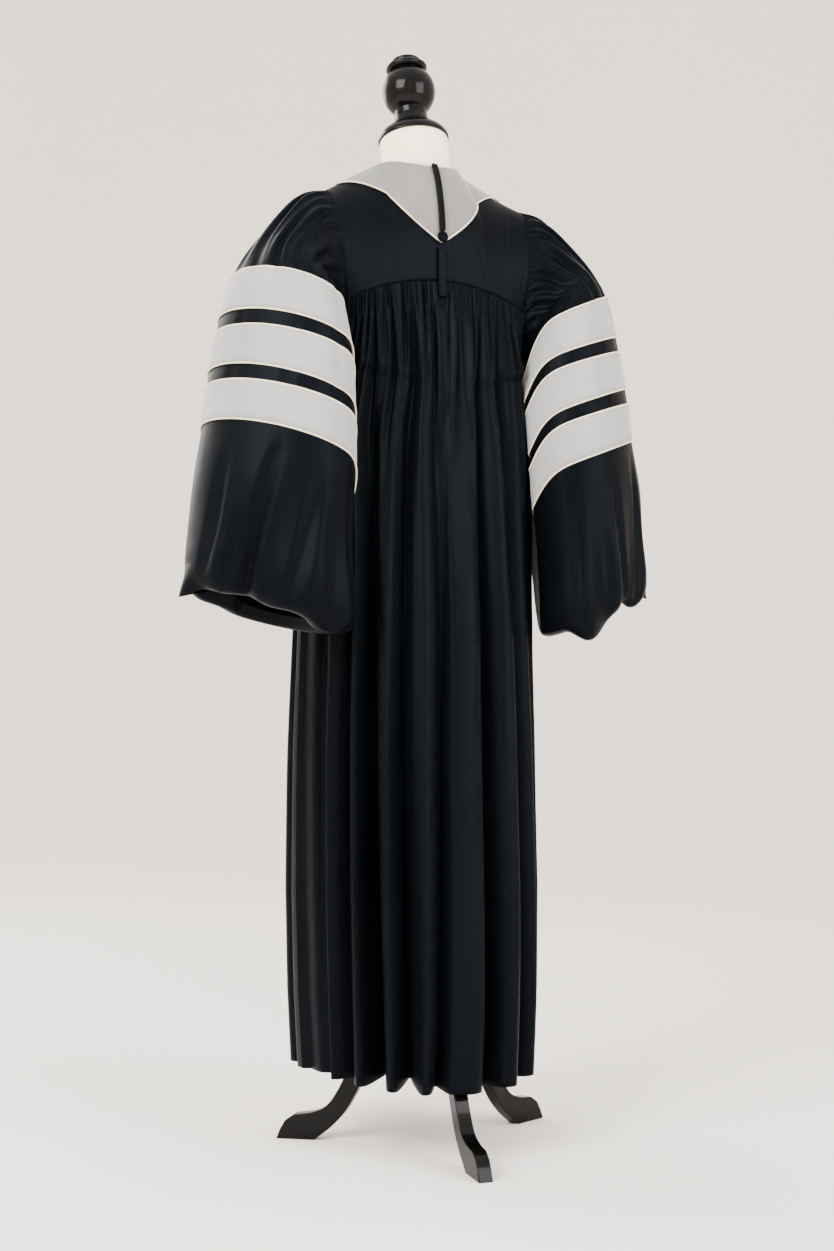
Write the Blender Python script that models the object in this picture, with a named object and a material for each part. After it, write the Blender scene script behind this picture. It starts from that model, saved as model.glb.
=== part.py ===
"""Doctoral graduation gown standing on a limbless dress form with a tripod.

Metres, +Z up. The wearer faces -Y, the wearer's left is +X, and the floor is z = 0.
The gown is a set of cut pieces. Each piece is a wall built on rows of points that run
across the body or round the sleeve, and each row is read from a short table of sections.
"""
import math

import bpy
from mathutils import Matrix, Vector

# ---------------------------------------------------------------- driving sizes
CLOTH = 0.002            # wall of the gown cloth
VELVET = 0.0018          # wall of the velvet facings and bars
GAP = 0.0003             # gap at seams and between faces that touch
LIFT = 0.0014            # clearance of a facing whose rows are not the yoke's own rows
PIPING_WIDE = 0.0022     # piping, foot of its section
PIPING_HIGH = 0.0038     # piping, height of its section
PIPING_OFF = 0.0018      # piping, clearance of its foot from the cloth
PIPING_GAP = 0.0007      # piping, from the edge that it follows

HANG_Y = -0.06           # the skirt hangs round this line, in front of the pole
SQUARE = 0.87            # exponent of the body sections; 1 is an ellipse, less is squarer
SWAY = 0.007             # the skirt hangs this far towards the wearer's left at its hem,
SWAY_TOP = 1.1           # from this height down
SWAY_REACH = 0.6

ARM_X = 0.156            # armhole oval: centre, half height and half depth
ARM_Y = -0.035
ARM_Z = 1.348
ARM_HALF_HIGH = 0.135
ARM_HALF_DEEP = 0.080
ARM_LEAN_X = 0.010       # its top stands this much further out than its middle
ARM_LEAN_Y = 0.015       # and this much further back
UNDERARM_Z = ARM_Z - ARM_HALF_HIGH

NECK_Y = -0.035          # centre of the neck opening
NECK_R = 0.062
NAPE_Z = 1.526
NECK_SIDE_Z = 1.539
NECK_SHARE = 0.40        # share of the yoke's top edge that lies on the neckline
FACING_X = 0.140         # outer edge of the velvet facing on the shoulder seam
V_TIP = 0.745            # height of the V's tip as a share of the yoke, top to seam

# Side seam of the skirt: half width of the gown at each height, and where the seam hangs.
SIDE_SEAM = (
    # height, half_width, y
    (1.213, 0.146, -0.050), (1.100, 0.165, -0.054), (0.980, 0.177, -0.058),
    (0.820, 0.187, -0.062), (0.620, 0.191, -0.067), (0.400, 0.192, -0.072),
    (0.240, 0.188, -0.076), (0.100, 0.180, -0.080),
)

# Sections of the back panel, from the yoke seam to the hem. flute is the half height of
# the shirring at the seam, gather that of the gathers below it, fold is the share of their
# hem depth that the hanging folds have reached, and full is how far the gathered cloth
# stands out on either side of the middle.
BACK_ROWS = (
    # y_mid, z_mid, z_side, flute, gather, fold, full
    (0.0550, 1.3430, 1.3060, 0.0000, 0.0000, 0.00, 0.000),
    (0.0560, 1.3370, 1.3010, 0.0022, 0.0000, 0.00, 0.000),
    (0.0590, 1.3080, 1.2760, 0.0022, 0.0000, 0.00, 0.003),
    (0.0680, 1.2450, 1.2350, 0.0006, 0.0040, 0.04, 0.014),
    (0.0780, 1.1800, 1.2130, 0.0000, 0.0050, 0.12, 0.024),
    (0.0900, 1.1000, 1.1000, 0.0000, 0.0040, 0.24, 0.020),
    (0.1050, 0.9800, 0.9800, 0.0000, 0.0020, 0.38, 0.010),
    (0.1220, 0.8200, 0.8200, 0.0000, 0.0000, 0.54, 0.000),
    (0.1390, 0.6200, 0.6200, 0.0000, 0.0000, 0.70, 0.000),
    (0.1540, 0.4000, 0.4000, 0.0000, 0.0000, 0.84, 0.000),
    (0.1620, 0.2400, 0.2400, 0.0000, 0.0000, 0.93, 0.000),
    (0.1600, 0.1080, 0.1220, 0.0000, 0.0000, 1.00, 0.000),
)
BACK_SETTLED = 7         # row from which the gathers have become folds
FULL_TURN = 55.0         # where the gathered cloth stands out most, by angle from the back
FULL_HALF_WIDTH = 30.0

# Troughs between the folds of the back, by angle from the centre back, wearer's left
# positive, at mid height and at the hem.
BACK_TROUGHS = (
    # mid, hem, half_width, depth, lift
    (-73.0, -74.0, 6.5, 0.024, 0.000),
    (-55.0, -55.0, 6.5, 0.046, 0.000),
    (-36.0, -33.0, 6.0, 0.055, 0.002),
    (-15.0, -10.5, 6.0, 0.060, 0.004),
    (6.0, 13.5, 4.5, 0.036, 0.005),
    (26.0, 29.0, 5.5, 0.050, 0.012),
    (44.0, 46.0, 5.5, 0.062, 0.010),
    (58.0, 63.0, 4.5, 0.026, 0.002),
    (75.0, 77.0, 5.5, 0.018, 0.000),
)
CREST_ROUND = 0.012      # how far a fold's crest rounds back towards its troughs

# Sections of a front, from the shoulder seam to the hem. The edge is the neckline down to
# the point of the front opening and the closed centre front below it.
FRONT_ROWS = (
    # x_edge, y_edge, z_edge, z_side, x_band, fold
    (0.062, -0.0350, 1.5390, 1.4830, 0.138, 0.00),
    (0.050, -0.0790, 1.4950, 1.4500, 0.130, 0.00),
    (0.030, -0.1110, 1.4470, 1.4000, 0.122, 0.00),
    (0.001, -0.1330, 1.3980, 1.3550, 0.112, 0.00),
    (0.001, -0.1480, 1.3400, 1.3000, 0.108, 0.00),
    (0.001, -0.1600, 1.2700, 1.2450, 0.106, 0.02),
    (0.001, -0.1680, 1.2000, 1.2130, 0.105, 0.08),
    (0.001, -0.1780, 1.1000, 1.1000, 0.105, 0.20),
    (0.001, -0.1980, 0.9800, 0.9800, 0.105, 0.36),
    (0.001, -0.2190, 0.8200, 0.8200, 0.105, 0.54),
    (0.001, -0.2370, 0.6200, 0.6200, 0.105, 0.70),
    (0.001, -0.2510, 0.4000, 0.4000, 0.105, 0.84),
    (0.001, -0.2590, 0.2400, 0.2400, 0.105, 0.93),
    (0.001, -0.2640, 0.1220, 0.1220, 0.105, 1.00),
)
FRONT_TROUGHS = (
    # share of the way from the facing to the side seam, half_width, depth
    (0.22, 0.10, 0.030),
    (0.50, 0.11, 0.038),
    (0.80, 0.10, 0.026),
)
FACING_COLUMNS = 3       # cells across the velvet facing of a front

# Sections of a sleeve, from the armhole to the turned-under hem. out and inn are the
# outermost and innermost x, lean_y and lean_x shear the ring so that it is longest from
# inner back to outer front, tilt lowers its inner side and dip adds to that underarm.
SLEEVE_ROWS = (
    # z_out, out, inn, y_mid, half_deep, lean_y, lean_x, tilt, dip, gather
    (1.4830, 0.1660, 0.1460, -0.035, 0.080, 0.015, 0.000, 0.1350, 0.000, 0.0000),
    (1.4730, 0.2030, 0.1530, -0.030, 0.088, 0.013, 0.000, 0.1190, 0.024, 0.0020),
    (1.4360, 0.2420, 0.1600, -0.022, 0.097, 0.010, -0.002, 0.0890, 0.050, 0.0032),
    (1.3890, 0.2810, 0.1640, -0.012, 0.106, 0.006, -0.006, 0.0470, 0.076, 0.0030),
    (1.3430, 0.3080, 0.1620, 0.000, 0.112, 0.002, -0.014, 0.0300, 0.092, 0.0006),
    (1.2820, 0.3270, 0.1520, 0.006, 0.114, -0.003, -0.017, 0.0300, 0.078, 0.0008),
    (1.2560, 0.3330, 0.1520, 0.008, 0.115, -0.005, -0.018, 0.0290, 0.076, 0.0008),
    (1.2000, 0.3440, 0.1540, 0.012, 0.116, -0.008, -0.020, 0.0330, 0.069, 0.0006),
    (1.1740, 0.3490, 0.1550, 0.014, 0.117, -0.010, -0.020, 0.0320, 0.069, 0.0006),
    (1.1175, 0.3560, 0.1580, 0.017, 0.118, -0.013, -0.021, 0.0360, 0.058, 0.0004),
    (1.0400, 0.3710, 0.1640, 0.021, 0.118, -0.018, -0.020, 0.0360, 0.048, 0.0000),
    (0.9600, 0.3800, 0.1680, 0.024, 0.120, -0.023, -0.021, 0.0300, 0.040, 0.0000),
    (0.9030, 0.3860, 0.1670, 0.030, 0.118, -0.026, -0.022, 0.0310, 0.020, 0.0000),
    (0.8680, 0.3790, 0.1740, 0.032, 0.110, -0.026, -0.022, 0.0310, 0.008, 0.0000),
    (0.8580, 0.3560, 0.1980, 0.032, 0.088, -0.023, -0.018, 0.0290, 0.000, 0.0000),
    (0.8740, 0.3400, 0.2140, 0.032, 0.074, -0.020, -0.015, 0.0260, 0.000, 0.0000),
)
DIP_SHARPNESS = 16       # the higher, the closer a ring's dip stays to the underarm
BAR_TOPS = (4, 6, 8)     # sleeve rows at the top edge of each velvet bar
BELLY_ROW = 12           # widest row, above the turn of the hem
SLEEVE_CELLS = 28
BODY_CLEAR = 0.012       # a sleeve lies this far off the body,
CLEAR_BELOW = UNDERARM_Z + 0.07  # from this height down

# Folds below the bars of each sleeve, by angle from its outer line towards the back.
SLEEVE_FOLDS = {
    "left": (
        # first_row, angle_there, angle_at_hem, half_width, depth
        (9, 75.0, 48.0, 24.0, 0.012),
        (10, 45.0, 33.0, 15.0, 0.015),
        (9, 118.0, 108.0, 20.0, 0.010),
        (9, -60.0, -70.0, 26.0, 0.012),
    ),
    "right": (
        (9, 62.0, 74.0, 22.0, 0.012),
        (9, 104.0, 98.0, 18.0, 0.014),
        (10, 30.0, 22.0, 16.0, 0.010),
        (9, -60.0, -66.0, 26.0, 0.012),
    ),
}
# Stretch of each hem that hangs free instead of turning under, and its lobes.
SLEEVE_FLAP = {
    # angle, half_width, reach, drop
    "left": (-14.0, 34.0, 0.013, 0.012),
    "right": (22.0, 30.0, 0.006, 0.008),
}
SLEEVE_LOBES = {
    # angle, half_width, drop
    "left": ((112.0, 50.0, 0.016), (62.0, 30.0, 0.008)),
    "right": ((118.0, 36.0, 0.026), (70.0, 16.0, -0.012), (46.0, 20.0, 0.006)),
}

# Dress form: sections of the torso, from the flat foot to the shoulders.
TORSO_ROWS = (
    # height, half_width, y_back, y_front
    (0.800, 0.132, 0.040, -0.128),
    (0.830, 0.147, 0.052, -0.144),
    (0.900, 0.150, 0.056, -0.148),
    (0.960, 0.134, 0.044, -0.136),
    (1.030, 0.114, 0.028, -0.122),
    (1.110, 0.120, 0.030, -0.130),
    (1.190, 0.134, 0.038, -0.146),
    (1.260, 0.141, 0.044, -0.150),
    (1.330, 0.146, 0.044, -0.138),
    (1.400, 0.149, 0.038, -0.120),
    (1.440, 0.151, 0.026, -0.100),
    (1.465, 0.146, 0.012, -0.076),
    (1.484, 0.120, 0.004, -0.062),
    (1.502, 0.090, 0.006, -0.060),
    (1.516, 0.068, 0.012, -0.062),
    (1.530, 0.0575, 0.0190, -0.0850),
)
TORSO_SIDES = 32
NECK_FORM_R = 0.0545
NECK_TOP_Z = 1.585
NECK_LEAN = math.radians(11.5)

# Turned cap and finial, along the leaning axis of the neck.
CAP_PROFILE = (
    # height, radius
    (0.0000, 0.0563), (0.0030, 0.0563), (0.0080, 0.0545), (0.0150, 0.0490),
    (0.0220, 0.0400), (0.0265, 0.0330), (0.0285, 0.0325), (0.0300, 0.0290),
    (0.0360, 0.0268), (0.0420, 0.0262),
)
BALL_CENTRE = 0.0850
BALL_R = 0.0425
BALL_WAIST_R = 0.0255
KNOB_PROFILE = (
    # height, radius
    (0.1190, 0.0250), (0.1205, 0.0305), (0.1240, 0.0330), (0.1280, 0.0322),
    (0.1310, 0.0275), (0.1325, 0.0235), (0.1350, 0.0240), (0.1385, 0.0225),
    (0.1415, 0.0150),
)
TURNED_SIDES = 32

# Tripod.
POLE_R = 0.011
POLE_SIDES = 20
HUB_PROFILE = (
    # height, radius
    (0.1360, 0.0180), (0.1420, 0.0260), (0.1500, 0.0300), (0.2100, 0.0300),
    (0.2200, 0.0270), (0.2260, 0.0200),
)
LEG_WIDE = 0.022
LEG_ANGLES = {"back": 8.0, "left": 128.0, "right": 248.0}
LEG_UPPER_EDGE = (
    # reach, height
    (0.0315, 0.2050), (0.0600, 0.2020), (0.0900, 0.1860), (0.1160, 0.1560),
    (0.1350, 0.1180), (0.1530, 0.0820), (0.1720, 0.0560), (0.1960, 0.0445),
    (0.2260, 0.0400), (0.2410, 0.0300), (0.2500, 0.0150), (0.2560, 0.0000),
)
LEG_LOWER_EDGE = (
    (0.1930, 0.0000), (0.1670, 0.0200), (0.1440, 0.0440), (0.1250, 0.0740),
    (0.1080, 0.1080), (0.0880, 0.1420), (0.0620, 0.1620), (0.0315, 0.1680),
)

# Hood cord, button and tab at the centre back.
CORD_WIDE = 0.011
CORD_HIGH = 0.004
BUTTON_R = 0.009
BUTTON_HIGH = 0.006
TAB_WIDE = 0.014
TAB_HIGH = 0.0016
TAB_LONG = 0.075

COLOURS = {
    # red, green, blue, roughness, metallic
    "gown_cloth": (0.010, 0.012, 0.017, 0.42, 0.0),
    "velvet": (0.50, 0.50, 0.495, 0.85, 0.0),
    "velvet_bar": (0.62, 0.62, 0.62, 0.85, 0.0),
    "piping": (0.88, 0.83, 0.70, 0.60, 0.0),
    "cord": (0.008, 0.008, 0.010, 0.60, 0.0),
    "form_cloth": (0.86, 0.79, 0.69, 0.75, 0.0),
    "black_lacquer": (0.008, 0.008, 0.009, 0.12, 0.0),
}


# ---------------------------------------------------------------- reading the tables
def smooth(value):
    value = min(max(value, 0.0), 1.0)
    return value * value * (3.0 - 2.0 * value)


def mix(a, b, share):
    return a + (b - a) * share


def bell(distance, half_width):
    """One at the middle of a fold, falling softly to nothing at half_width."""
    share = min(abs(distance) / half_width, 1.0)
    return 0.5 + 0.5 * math.cos(math.pi * share)


def row_at(table, row):
    """A table's values at a row number, on a smooth curve between its rows."""
    last = len(table) - 1
    k = min(max(int(math.floor(row)), 0), last - 1)
    f = row - k
    before, here = table[max(k - 1, 0)], table[k]
    after, beyond = table[k + 1], table[min(k + 2, last)]
    values = []
    for a, b, c, d in zip(before, here, after, beyond):
        values.append(0.5 * (2.0 * b + (c - a) * f + (2.0 * a - 5.0 * b + 4.0 * c - d) * f * f
                             + (3.0 * b - a - 3.0 * c + d) * f * f * f))
    return values


def read_at(table, key):
    """Interpolate the later columns of a table along its first column."""
    rows = sorted(table)
    if key <= rows[0][0]:
        return list(rows[0][1:])
    for low, high in zip(rows, rows[1:]):
        if key <= high[0]:
            share = (key - low[0]) / (high[0] - low[0])
            return [mix(a, b, share) for a, b in zip(low[1:], high[1:])]
    return list(rows[-1][1:])


# ---------------------------------------------------------------- body of the gown
def armhole(angle):
    """A point of the left armhole: 0 is the shoulder, 90 the back, 180 the underarm."""
    c = math.cos(math.radians(angle))
    s = math.sin(math.radians(angle))
    return Vector((ARM_X + ARM_LEAN_X * c,
                   ARM_Y + ARM_LEAN_Y * c + ARM_HALF_DEEP * s,
                   ARM_Z + ARM_HALF_HIGH * c))


def side_edge(height, facing):
    """Outer edge of a body panel: the armhole, then the side seam. facing is 1 at the back."""
    if height > UNDERARM_Z:
        angle = math.degrees(math.acos(min((height - ARM_Z) / ARM_HALF_HIGH, 1.0)))
        return armhole(facing * angle)
    half_width, seam_y = read_at(SIDE_SEAM, height)
    return Vector((half_width, seam_y + facing * GAP / 2.0, height))


def round_section(turn):
    """Share of the half width and of the depth reached at an angle from the middle."""
    angle = math.radians(min(max(turn, 0.0), 90.0))
    return math.sin(angle) ** SQUARE, max(math.cos(angle), 0.0) ** SQUARE


def push_in(point, depth):
    """Move a point level towards the line that the skirt hangs round."""
    away = Vector((point.x, point.y - HANG_Y, 0.0))
    return point - away.normalized() * depth


def back_columns():
    """Columns of the back panel: five for each trough and one on each crest between."""
    marks = []
    for k, (mid, hem, half, depth, lift) in enumerate(BACK_TROUGHS):
        for step in (-1.0, -0.45, 0.0, 0.45, 1.0):
            marks.append((mid + half * step, hem + half * step,
                          depth * bell(step, 1.0), lift * bell(step, 1.0)))
        if k + 1 < len(BACK_TROUGHS):
            after = BACK_TROUGHS[k + 1]
            marks.append(((mid + after[0]) / 2.0, (hem + after[1]) / 2.0, -CREST_ROUND, 0.0))
    ends = [(-90.0, -90.0, 0.0, 0.0), (90.0, 90.0, 0.0, 0.0)]
    marks = sorted(marks + ends)
    last = len(marks) - 1
    return [(mix(-90.0, 90.0, j / last),) + mark for j, mark in enumerate(marks)]


def back_point(columns, j, row):
    top, mid, hem, depth, lift = columns[j]
    y_mid, z_mid, z_side, flute, gather, fold, full = row_at(BACK_ROWS, row)
    last = len(BACK_ROWS) - 1
    turn = mix(top, mid, smooth((row - 2.0) / (BACK_SETTLED - 2.0)))
    turn = mix(turn, mix(mid, hem, (row - BACK_SETTLED) / (last - BACK_SETTLED)),
               1.0 if row > BACK_SETTLED else 0.0)
    across, deep = round_section(abs(turn))
    side = side_edge(z_side, 1.0)
    point = Vector((math.copysign(across * side.x, turn),
                    side.y + (y_mid - side.y) * deep,
                    mix(z_mid, z_side, across ** 2)))
    if 0 < j < len(columns) - 1:
        rows_left = max(row - (last - 1.0), 0.0)
        point.z += lift * rows_left
        shirring = flute * math.cos(math.pi * j) + gather * math.cos(math.pi * j / 2.0)
        shirring *= min(j - 1, len(columns) - 2 - j, 3) / 3.0
        out = full * bell(abs(turn) - FULL_TURN, FULL_HALF_WIDTH)
        point = push_in(point, fold * (depth + CREST_ROUND) + shirring - out)
    return point


def sway(grid):
    """Hang the skirt a little towards the wearer's left, more so lower down."""
    for line in grid:
        for point in line:
            point.x += SWAY * smooth((SWAY_TOP - point.z) / SWAY_REACH)
    return grid


def yoke_top(share):
    """Top edge of the left half of the yoke: round the neck, then along the shoulder."""
    if share <= NECK_SHARE:
        turn = math.pi / 2.0 * share / NECK_SHARE
        return Vector((NECK_R * math.sin(turn), NECK_Y + NECK_R * math.cos(turn),
                       mix(NAPE_Z, NECK_SIDE_Z, math.sin(turn) ** 2)))
    neck_side = Vector((NECK_R, NECK_Y, NECK_SIDE_Z))
    return neck_side.lerp(armhole(0.0), (share - NECK_SHARE) / (1.0 - NECK_SHARE))


def yoke_seam(share):
    y_mid, z_mid, z_side = BACK_ROWS[0][:3]
    side = side_edge(z_side, 1.0)
    across, deep = round_section(90.0 * share)
    return Vector((side.x * across, side.y + (y_mid - side.y) * deep,
                   mix(z_mid, z_side, across ** 2)))


def yoke_point(share, drop):
    """share runs from the centre back to the armhole, either side; drop from top to seam."""
    size = abs(share)
    top, seam = yoke_top(size), yoke_seam(size)
    crown = Vector((mix(top.x, seam.x, 0.45), mix(seam.y, 0.062, 1.0 - size * 0.6),
                    mix(top.z, seam.z, 0.30)))

    def curve(a, b, c):
        return a * (1.0 - drop) ** 2 + b * 2.0 * drop * (1.0 - drop) + c * drop ** 2

    point = curve(top, crown, seam)
    seam_angle = math.degrees(math.acos((BACK_ROWS[0][2] - ARM_Z) / ARM_HALF_HIGH))
    shoulder, arm_seam = yoke_top(1.0), yoke_seam(1.0)
    arm_crown = Vector((mix(shoulder.x, arm_seam.x, 0.45), mix(arm_seam.y, 0.062, 0.4),
                        mix(shoulder.z, arm_seam.z, 0.30)))
    point += (armhole(drop * seam_angle) - curve(shoulder, arm_crown, arm_seam)) * size ** 3
    point.x = math.copysign(point.x, share)
    return point


def front_columns():
    """Shares from the facing's outer edge (0) to the side seam (1), after the facing."""
    shares = {0.0: 0.0, 1.0: 0.0}
    for middle, half, depth in FRONT_TROUGHS:
        for step in (-1.0, -0.45, 0.0, 0.45, 1.0):
            shares[middle + half * step] = depth * bell(step, 1.0)
    return sorted(shares.items())


def front_point(columns, j, row):
    """Left front. Columns 0 to FACING_COLUMNS lie under the velvet facing."""
    x_edge, y_edge, z_edge, z_side, x_band, fold = row_at(FRONT_ROWS, row)
    side = side_edge(z_side, -1.0)
    share_band = ((x_band - x_edge) / (side.x - x_edge)) ** (1.0 / SQUARE)
    turn_band = math.degrees(math.asin(min(share_band, 1.0)))
    depth = 0.0
    if j <= FACING_COLUMNS:
        share = (mix(x_edge, x_band, j / FACING_COLUMNS) - x_edge) / (side.x - x_edge)
        turn = math.degrees(math.asin(max(share, 0.0) ** (1.0 / SQUARE)))
    else:
        share, depth = columns[j - FACING_COLUMNS]
        turn = mix(turn_band, 90.0, share)
    across, deep = round_section(turn)
    point = Vector((mix(x_edge, side.x, across), side.y + (y_edge - side.y) * deep,
                    mix(z_edge, z_side, across)))
    return push_in(point, fold * depth)


# ---------------------------------------------------------------- sleeves
def skirt_half_width(y, z):
    """Half width of the hanging skirt where it passes a given depth and height."""
    half_width, seam_y = read_at(SIDE_SEAM, z)
    rows = BACK_ROWS if y > seam_y else FRONT_ROWS
    columns = (1, 0) if y > seam_y else (2, 1)
    edge = read_at([(row[columns[0]], row[columns[1]]) for row in rows], z)[0]
    share = min(abs((y - seam_y) / (edge - seam_y)), 1.0)
    across = math.sqrt(max(1.0 - share ** (2.0 / SQUARE), 0.0)) ** SQUARE
    if y <= seam_y:
        return half_width * across
    full = read_at([(row[1], row[6]) for row in BACK_ROWS], z)[0]
    turn = math.degrees(math.acos(share ** (1.0 / SQUARE)))
    return half_width * across + full * bell(turn - FULL_TURN, FULL_HALF_WIDTH)


def sleeve_point(side, angle, row, pleat=0.0):
    """A point of the left-hand form of a sleeve: 0 is its outer line and 90 its back."""
    (z_out, out, inn, y_mid, half_deep, lean_y, lean_x, tilt, dip,
     gather) = row_at(SLEEVE_ROWS, row)
    c = math.cos(math.radians(angle))
    s = math.sin(math.radians(angle))
    middle = Vector(((out + inn) / 2.0, y_mid, 0.0))
    ring = Vector(((out - inn) / 2.0 * c + lean_x * s, lean_y * c + half_deep * s, 0.0))
    lower = (1.0 - c) / 2.0
    height = z_out - tilt * (1.0 - c) - dip * lower ** DIP_SHARPNESS

    last = len(SLEEVE_ROWS) - 1
    inward = gather * pleat
    for first, at_first, at_hem, half, depth in SLEEVE_FOLDS[side]:
        if row > first:
            share = (row - first) / (last - first)
            reached = smooth((row - first) / (BELLY_ROW - first))
            inward += depth * reached * bell(angle - mix(at_first, at_hem, share), half)
    if row > BELLY_ROW:
        share = (row - BELLY_ROW) / (last - BELLY_ROW)
        flap_angle, flap_half, reach, drop = SLEEVE_FLAP[side]
        free = bell((angle - flap_angle + 180.0) % 360.0 - 180.0, flap_half)
        belly = row_at(SLEEVE_ROWS, BELLY_ROW)
        wide = Vector(((belly[1] - belly[2]) / 2.0 * c + belly[6] * s,
                       belly[5] * c + belly[4] * s, 0.0))
        wide *= 1.0 + reach * share / wide.length
        ring = ring.lerp(wide, free)
        hanging = belly[0] - belly[7] * (1.0 - c) - (0.035 + drop) * share
        height = mix(height, hanging, free)
        for lobe, half, fall in SLEEVE_LOBES[side]:
            height -= fall * bell(angle - lobe, half) * min(share * 2.0, 1.0) * (1.0 - free)
    point = middle + ring * (1.0 - inward / ring.length)
    point.z = height
    if row > 1.5 and height < CLEAR_BELOW:
        clear = skirt_half_width(point.y, height) + BODY_CLEAR
        if point.x < clear and point.y < BACK_ROWS[-1][0]:
            point.x = clear
    return point


# ---------------------------------------------------------------- making solids
def make_object(name, points, faces, material):
    mesh = bpy.data.meshes.new(name)
    mesh.from_pydata([tuple(point) for point in points], [], faces)
    mesh.update()
    mesh.shade_smooth()
    mesh.set_sharp_from_angle(angle=math.radians(38.0))
    obj = bpy.data.objects.new(name, mesh)
    bpy.context.collection.objects.link(obj)
    mesh.materials.append(material)
    return obj


def neighbours(index, count, closed):
    if closed:
        return (index - 1) % count, (index + 1) % count
    return max(index - 1, 0), min(index + 1, count - 1)


def grid_normals(grid, closed, flatten=()):
    """Outward normals of a grid. flatten lists (edge, axis) along which a seam is cut
    square, so that the walls of two pieces stay parallel across it."""
    rows, columns = len(grid), len(grid[0])
    normals = []
    for i in range(rows):
        up, down = neighbours(i, rows, False)
        line = []
        for j in range(columns):
            left, right = neighbours(j, columns, closed)
            along = grid[i][right] - grid[i][left]
            fall = grid[down][j] - grid[up][j]
            line.append(along.cross(fall).normalized())
        normals.append(line)
    middle = Vector((0.0, 0.0, 0.0))
    for line in grid:
        for point in line:
            middle += point / (rows * columns)
    outward = 0.0
    for points, line in zip(grid, normals):
        for point, normal in zip(points, line):
            away = Vector((point.x - middle.x, point.y - middle.y, 0.0))
            outward += normal.dot(away)
    if outward < 0.0:
        normals = [[-normal for normal in line] for line in normals]
    edges = {
        "top": lambda i, j: i == 0, "bottom": lambda i, j: i == rows - 1,
        "first": lambda i, j: j == 0, "last": lambda i, j: j == columns - 1,
    }
    for edge, axis in flatten:
        for i in range(rows):
            for j in range(columns):
                if edges[edge](i, j):
                    normal = normals[i][j]
                    normals[i][j] = (normal - axis * normal.dot(axis)).normalized()
    return normals


def wall(name, grid, normals, inner, outer, material, closed=False):
    """A closed wall between two offsets of a grid, both along its normals."""
    rows, columns = len(grid), len(grid[0])
    points = []
    for offset in (outer, inner):
        for line, line_normals in zip(grid, normals):
            points += [p + n * offset for p, n in zip(line, line_normals)]
    count = rows * columns
    spans = columns if closed else columns - 1
    faces = []

    def add(a, b, c, d):
        faces.append((a, b, c))
        faces.append((a, c, d))

    for i in range(rows - 1):
        for j in range(spans):
            k = (j + 1) % columns
            a, b = i * columns + j, i * columns + k
            c, d = (i + 1) * columns + k, (i + 1) * columns + j
            add(a, b, c, d)
            faces.append((count + c, count + b, count + a))
            faces.append((count + d, count + c, count + a))
    for j in range(spans):
        k = (j + 1) % columns
        add(j, count + j, count + k, k)
        low = (rows - 1) * columns
        add(low + k, count + low + k, count + low + j, low + j)
    if not closed:
        for i in range(rows - 1):
            a, b = i * columns, (i + 1) * columns
            add(a, b, count + b, count + a)
            c, d = a + columns - 1, b + columns - 1
            add(c, count + c, count + d, d)
    side = (points[1] - points[0]).cross(points[columns] - points[0])
    if side.dot(normals[0][0]) < 0.0:
        faces = [tuple(reversed(face)) for face in faces]
    return make_object(name, points, faces, material)


def mirrored(grid):
    """The grid of the wearer's right side, from that of the left."""
    return [[Vector((-p.x, p.y, p.z)) for p in line] for line in grid]


def piping(name, feet, outs, material, closed=False):
    """A cord of three-sided section. feet are pairs of points on the cloth."""
    points, faces = [], []
    for (near, far), out in zip(feet, outs):
        points += [near + out * PIPING_OFF, far + out * PIPING_OFF,
                   (near + far) / 2.0 + out * PIPING_HIGH]
    count = len(feet)
    for k in range(count if closed else count - 1):
        a, b = 3 * k, 3 * ((k + 1) % count)
        for m in range(3):
            n = (m + 1) % 3
            faces += [(a + m, a + n, b + n), (a + m, b + n, b + m)]
    if not closed:
        end = 3 * (count - 1)
        faces += [(0, 2, 1), (end, end + 1, end + 2)]
    edge_a = points[1] - points[0]
    edge_b = points[4] - points[0]
    centre = (points[0] + points[1] + points[2]) / 3.0
    if edge_a.cross(edge_b).dot(points[0] + points[1] - 2.0 * centre) < 0.0:
        faces = [tuple(reversed(face)) for face in faces]
    return make_object(name, points, faces, material)


def turned(name, profile, sides, material, place=Matrix.Identity(4)):
    """A solid turned from (height, radius) rows, closed flat at both ends."""
    points, faces = [], []
    for height, radius in profile:
        for k in range(sides):
            turn = 2.0 * math.pi * k / sides
            points.append(place @ Vector((radius * math.cos(turn), radius * math.sin(turn),
                                          height)))
    for i in range(len(profile) - 1):
        for k in range(sides):
            n = (k + 1) % sides
            a, b = i * sides + k, i * sides + n
            faces.append((a, b, b + sides, a + sides))
    faces.append(tuple(reversed(range(sides))))
    top = (len(profile) - 1) * sides
    faces.append(tuple(range(top, top + sides)))
    return make_object(name, points, faces, material)


def make_material(name):
    red, green, blue, roughness, metallic = COLOURS[name]
    material = bpy.data.materials.new(name)
    material.use_nodes = True
    shader = material.node_tree.nodes["Principled BSDF"]
    shader.inputs["Base Color"].default_value = (red, green, blue, 1.0)
    shader.inputs["Roughness"].default_value = roughness
    shader.inputs["Metallic"].default_value = metallic
    material.diffuse_color = (red, green, blue, 1.0)
    return material


# ---------------------------------------------------------------- the gown's pieces
X_AXIS = Vector((1.0, 0.0, 0.0))
Y_AXIS = Vector((0.0, 1.0, 0.0))
Z_AXIS = Vector((0.0, 0.0, 1.0))
YOKE_CELLS = 32
YOKE_DROPS = (0.0, 0.06, 0.13, 0.22, 0.33, 0.46, 0.62, 0.80, 1.0)


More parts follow.
